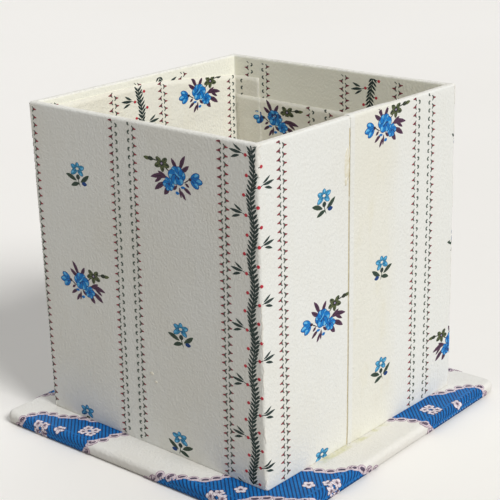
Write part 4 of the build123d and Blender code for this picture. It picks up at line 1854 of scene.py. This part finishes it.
@dataclass
class PlatePieces:
    """The foot plate's cover with its ribbon print."""

    box: BoxSizes
    press: PrintPress
    paper: bpy.types.Material
    sheet: PlateSheet = field(init=False)
    rib_pitch: float = 0.95
    ribbon_repeat: float = 69.0
    layer_step: float = 0.005
    scallop: float = 2.9
    run: tuple[float, float] = (-8.0, 152.0)
    cuts: int = 9
    ground_lift: float = 0.012
    rib_lift: float = 0.017
    lace_lift: float = 0.024
    scallop_lift: float = 0.029
    flower_lift: float = 0.052

    def __post_init__(self) -> None:
        """Makes the mapping."""
        self.sheet = PlateSheet(self.box)

    def rim(self) -> list[Array]:
        """The core square's outline, with a fan of outward directions at each corner.

        Returns:
            Four columns: x and y of the places, and x and y of the directions.
        """
        core = self.sheet.core
        line = np.linspace(-core, core, 52)[:-1]
        fan = np.linspace(0.0, math.pi / 2.0, 9)
        places = (np.append(line, np.full(len(fan), core)), np.full(len(line) + len(fan), -core))
        heads = (np.append(np.zeros(len(line)), np.sin(fan)), np.append(-np.ones(len(line)), -np.cos(fan)))
        columns = []
        for x, y in (places, heads):
            turns = [(math.cos(k * math.pi / 2.0), math.sin(k * math.pi / 2.0)) for k in range(4)]
            columns += [np.concatenate([c * x - n * y for c, n in turns])[:, None],
                        np.concatenate([n * x + c * y for c, n in turns])[:, None]]
        return columns

    def surface(self, lift: float) -> Array:
        """The cover's grid: from the middle out to the core square, then along the edge's section.

        Args:
            lift: how far off the paper's face.

        Returns:
            Points, by place round the square and then by distance out.
        """
        s = self.sheet
        inner = np.linspace(0.0, 1.0, 32)[None, :-1]
        out = np.unique(np.concatenate([s.path.arc, np.linspace(0.0, s.path.arc[-1], 20)]))[None, :]
        cx, cy, dx, dy = self.rim()
        middle = s.from_core(*np.broadcast_arrays(cx * inner, cy * inner, dx, dy, 0.0), lift)
        edge = s.from_core(*np.broadcast_arrays(cx, cy, dx, dy, out), lift)
        return np.concatenate([middle, edge], axis=1)

    def build_paper(self) -> bpy.types.Object:
        """The plate's cover, one closed shell."""
        points, quads = shell(self.surface(0.0), self.surface(-SHELL_SHARE * self.box.sheet), wrap=True)
        piece = make_piece("plate_cover_paper", points, quads, [self.paper], weld=True)
        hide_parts("plate_cover")
        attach(piece, "root")
        return piece

    def edges(self, p: Array, index: int) -> tuple[Array, Array]:
        """The upper-left and lower-right edges of a ribbon, of one of two kinds that take turns.

        Args:
            p: distances along the ribbon.
            index: which ribbon, from the back left to the front right.

        Returns:
            The two edges as distances across.
        """
        lines = (np.array(points, float) for points in RIBBON_EDGES[index % 2])
        top, low = (self.smooth(p, line[:, 0], line[:, 1]) + self.across(index) for line in lines)
        return top, low

    def across(self, index: int) -> float:
        """How far a ribbon lies beyond the first of its kind."""
        return self.ribbon_repeat * ((index - 1) // 2)

    @staticmethod
    def smooth(at: Array, stations: Array, heights: Array) -> Array:
        """Heights between stations, eased by a cosine so that the line is smooth at each station.

        Args:
            at: where they are read.
            stations, heights: the places at which the heights are given, and the heights.

        Returns:
            A height for each of at.
        """
        i = np.clip(np.searchsorted(stations, at) - 1, 0, len(stations) - 2)
        t = (at - stations[i]) / (stations[i + 1] - stations[i])
        ease = (1.0 - np.cos(math.pi * np.clip(t, 0.0, 1.0))) / 2.0
        return heights[i] + (heights[i + 1] - heights[i]) * ease

    @staticmethod
    def to_page(p: Array, q: Array) -> Array:
        """Page places from distances along and across the ribbons, which run up to the right at 45°."""
        root, corner = math.sqrt(0.5), 51.0
        return np.stack([(p + q) * root - corner, corner - (p - q) * root], axis=-1)

    def shown(self, marks: Marks) -> Marks:
        """Only the marks that reach the part of the plate outside the box and within the sheet."""
        away = np.abs(marks.line).max(axis=-1)
        out = (away > self.box.half - 1.6).any(axis=1)
        return marks.only(out & (away < self.box.plate_half + 6.0).any(axis=1))

    def lines(self, p: Array, q: Array, width: float, ink: Ink, base: float) -> Marks:
        """Marks along given lines, each cut into short marks so that hidden parts can be left out.

        Args:
            p, q: distances along and across the ribbon, one line a row.
            width: the marks' width.
            ink: their colour.
            base: how far they stand off the sheet.

        Returns:
            The marks.
        """
        page = self.to_page(p, q)
        per = (p.shape[1] - 1) // self.cuts
        line = np.concatenate([page[:, k * per:(k + 1) * per + 1] for k in range(self.cuts)])
        half = np.full(line.shape[:2], 0.5 * width)
        return Marks(line, half, np.full(len(line), ink.number), base, step=0.0)

    def build_print(self) -> list[bpy.types.Object]:
        """The ribbons: a blue ground, the ribs across it, then lace edges and pale flowers."""
        reach = self.box.plate_half + 5.5
        edges = SheetEdges(-reach, reach, -reach, reach)
        weave, trim = [], []
        for index in range(-1, 4):
            for runs, groups in ((weave, self.ribbon(index)), (trim, self.trimming(index))):
                kept = [self.shown(marks) for marks in groups]
                runs += [(marks, self.sheet.place, edges) for marks in kept if len(marks.line)]
        return [self.press.print_piece("print_ribbons", weave), self.press.print_piece("print_lace", trim)]

    def ribbon(self, index: int) -> list[Marks]:
        """One ribbon's marks: its ground, then a dark rib in each strip of it.

        Args:
            index: which ribbon.

        Returns:
            The marks, lowest first.
        """
        pitch = self.rib_pitch
        p = np.arange(*self.run, pitch)
        upper, lower = self.edges(p, index)
        share = np.linspace(0.0, 1.0, 28)[None, :]
        q = upper[:, None] + (lower - upper)[:, None] * share
        pp = np.broadcast_to(p[:, None], q.shape)
        return [self.lines(pp, q, pitch, Ink.RIBBON, self.ground_lift),
                self.lines(pp + 0.20, q, pitch * 0.36, Ink.RIB_DEEP, self.rib_lift)]

    def trimming(self, index: int) -> list[Marks]:
        """One ribbon's lace edges and flowers."""
        return self.lace(index, 0, -1.0) + self.lace(index, 1, 1.0) + self.flowers(index)

    def layered(self, layers: Sequence[list[tuple]], base: float) -> list[Marks]:
        """Rows of leaf shapes as marks, each layer standing off by layer_step more than the one before."""
        return [replace(leaves(rows, base=base + self.layer_step * k, across=3), step=0.0)
                for k, rows in enumerate(layers)]

    def lace(self, index: int, edge: int, way: float) -> list[Marks]:
        """The lace along one edge: a pale band, round scallops beyond it and a dark loop in each.

        Args:
            index: which ribbon.
            edge: 0 for its upper edge, 1 for its lower.
            way: -1 where outwards is up, 1 where it is down.

        Returns:
            The marks.
        """
        p = np.arange(*self.run, 0.5)
        q = self.edges(p, index)[edge] + way * 0.35
        starts = np.arange(0, len(p) - 6, 5)[:, None] + np.arange(6)[None, :]
        band = Marks(self.to_page(p[starts], q[starts]), np.full(starts.shape, 0.5),
                     np.full(len(starts), Ink.LACE.number), base=self.lace_lift, step=0.0)
        at = np.arange(*self.run, self.scallop)
        line = self.edges(at, index)[edge] + way * 0.8
        layers = []
        for reach, inwards, width, fullness, ink in SCALLOP:
            ends = [self.to_page(at + side * reach, line - way * inwards) for side in (-1.0, 1.0)]
            layers.append([(*first, *last, width, 0.0, fullness, ink) for first, last in zip(*ends)])
        return [band, *self.layered(layers, self.scallop_lift)]

    def flowers(self, index: int) -> list[Marks]:
        """Pale five-petalled flowers on a ribbon, by turns a cluster of four and a single one.

        Args:
            index: which ribbon.

        Returns:
            The marks, by layer.
        """
        spots = SEEN_FLOWERS.get(index)
        if spots is None:
            line = self.across(index) + (53.5 if index % 2 == 0 else 13.5)
            steps = np.arange(4.0, 150.0, 8.6)
            spots = [(p, line + 2.0 * math.sin(p), 4 if k % 2 else 1) for k, p in enumerate(steps)]
        layers: list[list[tuple]] = [[], [], []]
        for p, q, count in spots:
            x, y = self.to_page(np.array([p]), np.array([q]))[0]
            spread, reach = (0.0, 1.62) if count == 1 else (1.75, 1.4)
            for k in range(count):
                angle = 2.0 * math.pi * k / count + p
                cx, cy = x + 1.05 * spread * math.cos(angle), y + 0.9 * spread * math.sin(angle)
                for rows, more in zip(layers, self.blossom(cx, cy, reach, angle)):
                    rows += more
        return self.layered(layers, self.flower_lift)

    @staticmethod
    def blossom(cx: float, cy: float, reach: float, turn: float) -> list[list[tuple]]:
        """One flower's rows by layer: dark outlines, five pale petals, then the throats and a dark eye.

        Args:
            cx, cy: its middle.
            reach: the petals' length.
            turn: the first petal's angle.

        Returns:
            Three layers of rows for leaves().
        """
        heads = [(math.cos(a), math.sin(a)) for a in (turn + 2.0 * math.pi * k / 5.0 for k in range(5))]
        layers = []
        for near, far, wide, ink in ((0.10, 1.16, 0.98, Ink.LOOP), (0.22, 1.04, 0.80, Ink.PETAL)):
            layers.append([(cx + near * reach * c, cy + near * reach * s, cx + far * reach * c,
                            cy + far * reach * s, wide * reach, 0.0, ROUND, ink) for c, s in heads])
        last = [(cx + 0.1 * c, cy + 0.1 * s, cx + 0.55 * reach * c, cy + 0.55 * reach * s, 0.24, 0.0, POINTED,
                 Ink.LACE_SHADE) for c, s in heads]
        return [*layers, [*last, (cx - 0.26, cy, cx + 0.26, cy, 0.52, 0.0, ROUND, Ink.LOOP)]]


@dataclass
class Studio:
    """The floor, the light and the camera at the photograph's angle."""

    azimuth: float = 42.31
    elevation: float = 19.96
    roll: float = -1.80
    place: tuple[float, float, float] = (232.4, -255.1, 165.4)
    focal_pixels: float = 1322.2
    picture: float = 500.0
    shift_y: float = 0.05
    sensor: float = 36.0
    shade_strength: float = 0.32
    backdrop_strength: float = 0.92

    def build(self) -> None:
        """Makes the floor, the lamps, the world and the camera."""
        self.floor()
        self.lamps()
        self.world()
        self.camera()

    def floor(self) -> None:
        """A wide pale floor just under the plate."""
        mesh = bpy.data.meshes.new("studio_floor")
        reach = 4.0
        corners = [(x * reach, y * reach, 0.0) for x, y in ((-1, -1), (1, -1), (1, 1), (-1, 1))]
        mesh.from_pydata(corners, [], [(0, 1, 2, 3)])
        floor = bpy.data.objects.new("studio_floor", mesh)
        bpy.context.scene.collection.objects.link(floor)
        n = Nodes("studio_floor")
        pale = n.mix(n.noise(2.0, 2.0).rise(0.3, 0.7), tint((250, 248, 244)), tint((253, 251, 248)))
        colour = n.mix(self.backdrop_rays(n.tree), tint((196, 192, 186)), pale)
        mesh.materials.append(n.finish(colour, 0.8, specular=0.1))

    @staticmethod
    def backdrop_rays(tree: bpy.types.NodeTree) -> bpy.types.NodeSocket:
        """A socket that is 1 for rays from the camera, off gloss and through glass, and 0 for the others.

        Args:
            tree: the node tree it is made in.

        Returns:
            The socket.
        """
        path = tree.nodes.new("ShaderNodeLightPath")
        seen = path.outputs["Is Camera Ray"]
        for name in ("Is Glossy Ray", "Is Transmission Ray"):
            most = tree.nodes.new("ShaderNodeMath")
            most.operation = "MAXIMUM"
            tree.links.new(seen, most.inputs[0])
            tree.links.new(path.outputs[name], most.inputs[1])
            seen = most.outputs[0]
        return seen

    def lamps(self) -> None:
        """A broad soft lamp from the right and above, and a faint one from behind on the left."""
        for name, azimuth, elevation, energy, angle, colour in (
                ("key", 84.0, 40.0, 2.25, 22.0, (1.0, 0.996, 0.985)),
                ("fill", 225.0, 42.0, 0.5, 60.0, (0.98, 0.99, 1.0))):
            lamp = bpy.data.lights.new(name, "SUN")
            lamp.energy, lamp.angle, lamp.color = energy, math.radians(angle), colour
            thing = bpy.data.objects.new(name, lamp)
            back = self.direction(azimuth, elevation)
            thing.matrix_world = self.look(back, 0.0, back)
            bpy.context.scene.collection.objects.link(thing)

    def world(self) -> None:
        """A plain pale surround that lights the shade, and shows as a pale backdrop."""
        world = bpy.data.worlds.new("studio")
        world.use_nodes = True
        bpy.context.scene.world = world
        back = next(n for n in world.node_tree.nodes if n.type == "BACKGROUND")
        mix = world.node_tree.nodes.new("ShaderNodeMix")
        mix.data_type = "FLOAT"
        world.node_tree.links.new(self.backdrop_rays(world.node_tree), mix.inputs[0])
        mix.inputs[2].default_value = self.shade_strength
        mix.inputs[3].default_value = self.backdrop_strength
        world.node_tree.links.new(mix.outputs[0], back.inputs["Strength"])
        back.inputs["Color"].default_value = (1.0, 0.99, 0.975, 1.0)

    @staticmethod
    def direction(azimuth: float, elevation: float) -> Array:
        """The direction to a place at an azimuth from the front to the right and an elevation."""
        a, e = math.radians(azimuth), math.radians(elevation)
        return np.array([math.sin(a) * math.cos(e), -math.cos(a) * math.cos(e), math.sin(e)])

    @staticmethod
    def look(back: Array, roll: float, at: Array) -> Matrix:
        """A pose whose -Z looks against back.

        Args:
            back: the direction from what is looked at.
            roll: how far it is turned about its view, in degrees.
            at: its place.

        Returns:
            The pose's matrix.
        """
        back = back / np.linalg.norm(back)
        right = np.cross([0.0, 0.0, 1.0], back)
        right /= np.linalg.norm(right)
        up = np.cross(back, right)
        c, s = math.cos(math.radians(roll)), math.sin(math.radians(roll))
        pose = np.eye(4)
        pose[:3] = np.stack([c * right + s * up, -s * right + c * up, back, at], axis=1)
        return Matrix(pose.tolist())

    def camera(self) -> None:
        """The camera at the place worked out from the photograph's corners."""
        lens = bpy.data.cameras.new("camera")
        lens.sensor_width = self.sensor
        lens.lens = self.focal_pixels / self.picture * self.sensor
        lens.shift_y = self.shift_y
        lens.clip_start, lens.clip_end = 0.01, 20.0
        thing = bpy.data.objects.new("camera", lens)
        bpy.context.scene.collection.objects.link(thing)
        back = self.direction(self.azimuth, self.elevation)
        thing.matrix_world = self.look(back, self.roll, np.array(self.place) * MM)
        bpy.context.scene.camera = thing


def dress_boards() -> None:
    """Gives the boards and the plain backing, which stay as CAD nodes, their procedural finishes."""
    board = GREYBOARD.material()
    backing = PaperFinish("backing_paper", base=(232, 229, 220), warm=(222, 216, 200)).material()
    for name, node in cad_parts.items():
        if name.startswith("wall_board") or name in ("floor_board", "plate_board", "plate_backing"):
            node.data.materials.clear()
            node.data.materials.append(backing if name == "plate_backing" else board)
            log.info("%s dressed", name)


def main() -> None:
    """Builds the box's sheets and print, the boards' finish and the studio."""
    logging.basicConfig(level=logging.INFO, format="%(name)s: %(message)s")
    bpy.context.scene.view_settings.view_transform = "Standard"
    box = BoxSizes()
    log.info("half %.2f rim %.2f foot %.2f sheet %.2f", box.half, box.rim, box.foot, box.sheet)
    press = PrintPress({ink: InkFinish(ink).material() for ink in Ink})
    # The cover's inside colour is painted light: lighter and warmer within the cavity, for the light that the
    # lit inner walls bounce.
    cover_paper = PaperFinish("cover_paper", foot_soil=0.35, seam_band=(-0.0061, 0.0100),
                              inside=(251, 250, 237))
    lining_paper = PaperFinish("lining_paper", base=(243, 241, 230), warm=(235, 229, 209))
    floor_paper = PaperFinish("floor_paper", base=(236, 233, 220), warm=(226, 218, 196))
    plate_paper = PaperFinish("plate_paper", base=(235, 234, 230), warm=(225, 221, 210), stain=True)
    cover = CoverPieces(box, press, cover_paper.material(), BARE_FIBRE.material(), DRIED_GLUE.material())
    cover.build_paper()
    cover.build_print()
    cover.build_wear()
    cover.build_glue()
    LiningPieces(box, press, lining_paper.material(), floor_paper.material()).build_all()
    plate = PlatePieces(box, press, plate_paper.material())
    plate.build_paper()
    plate.build_print()
    dress_boards()
    Studio().build()
    bpy.context.view_layer.update()


if __name__ == "__main__":
    main()
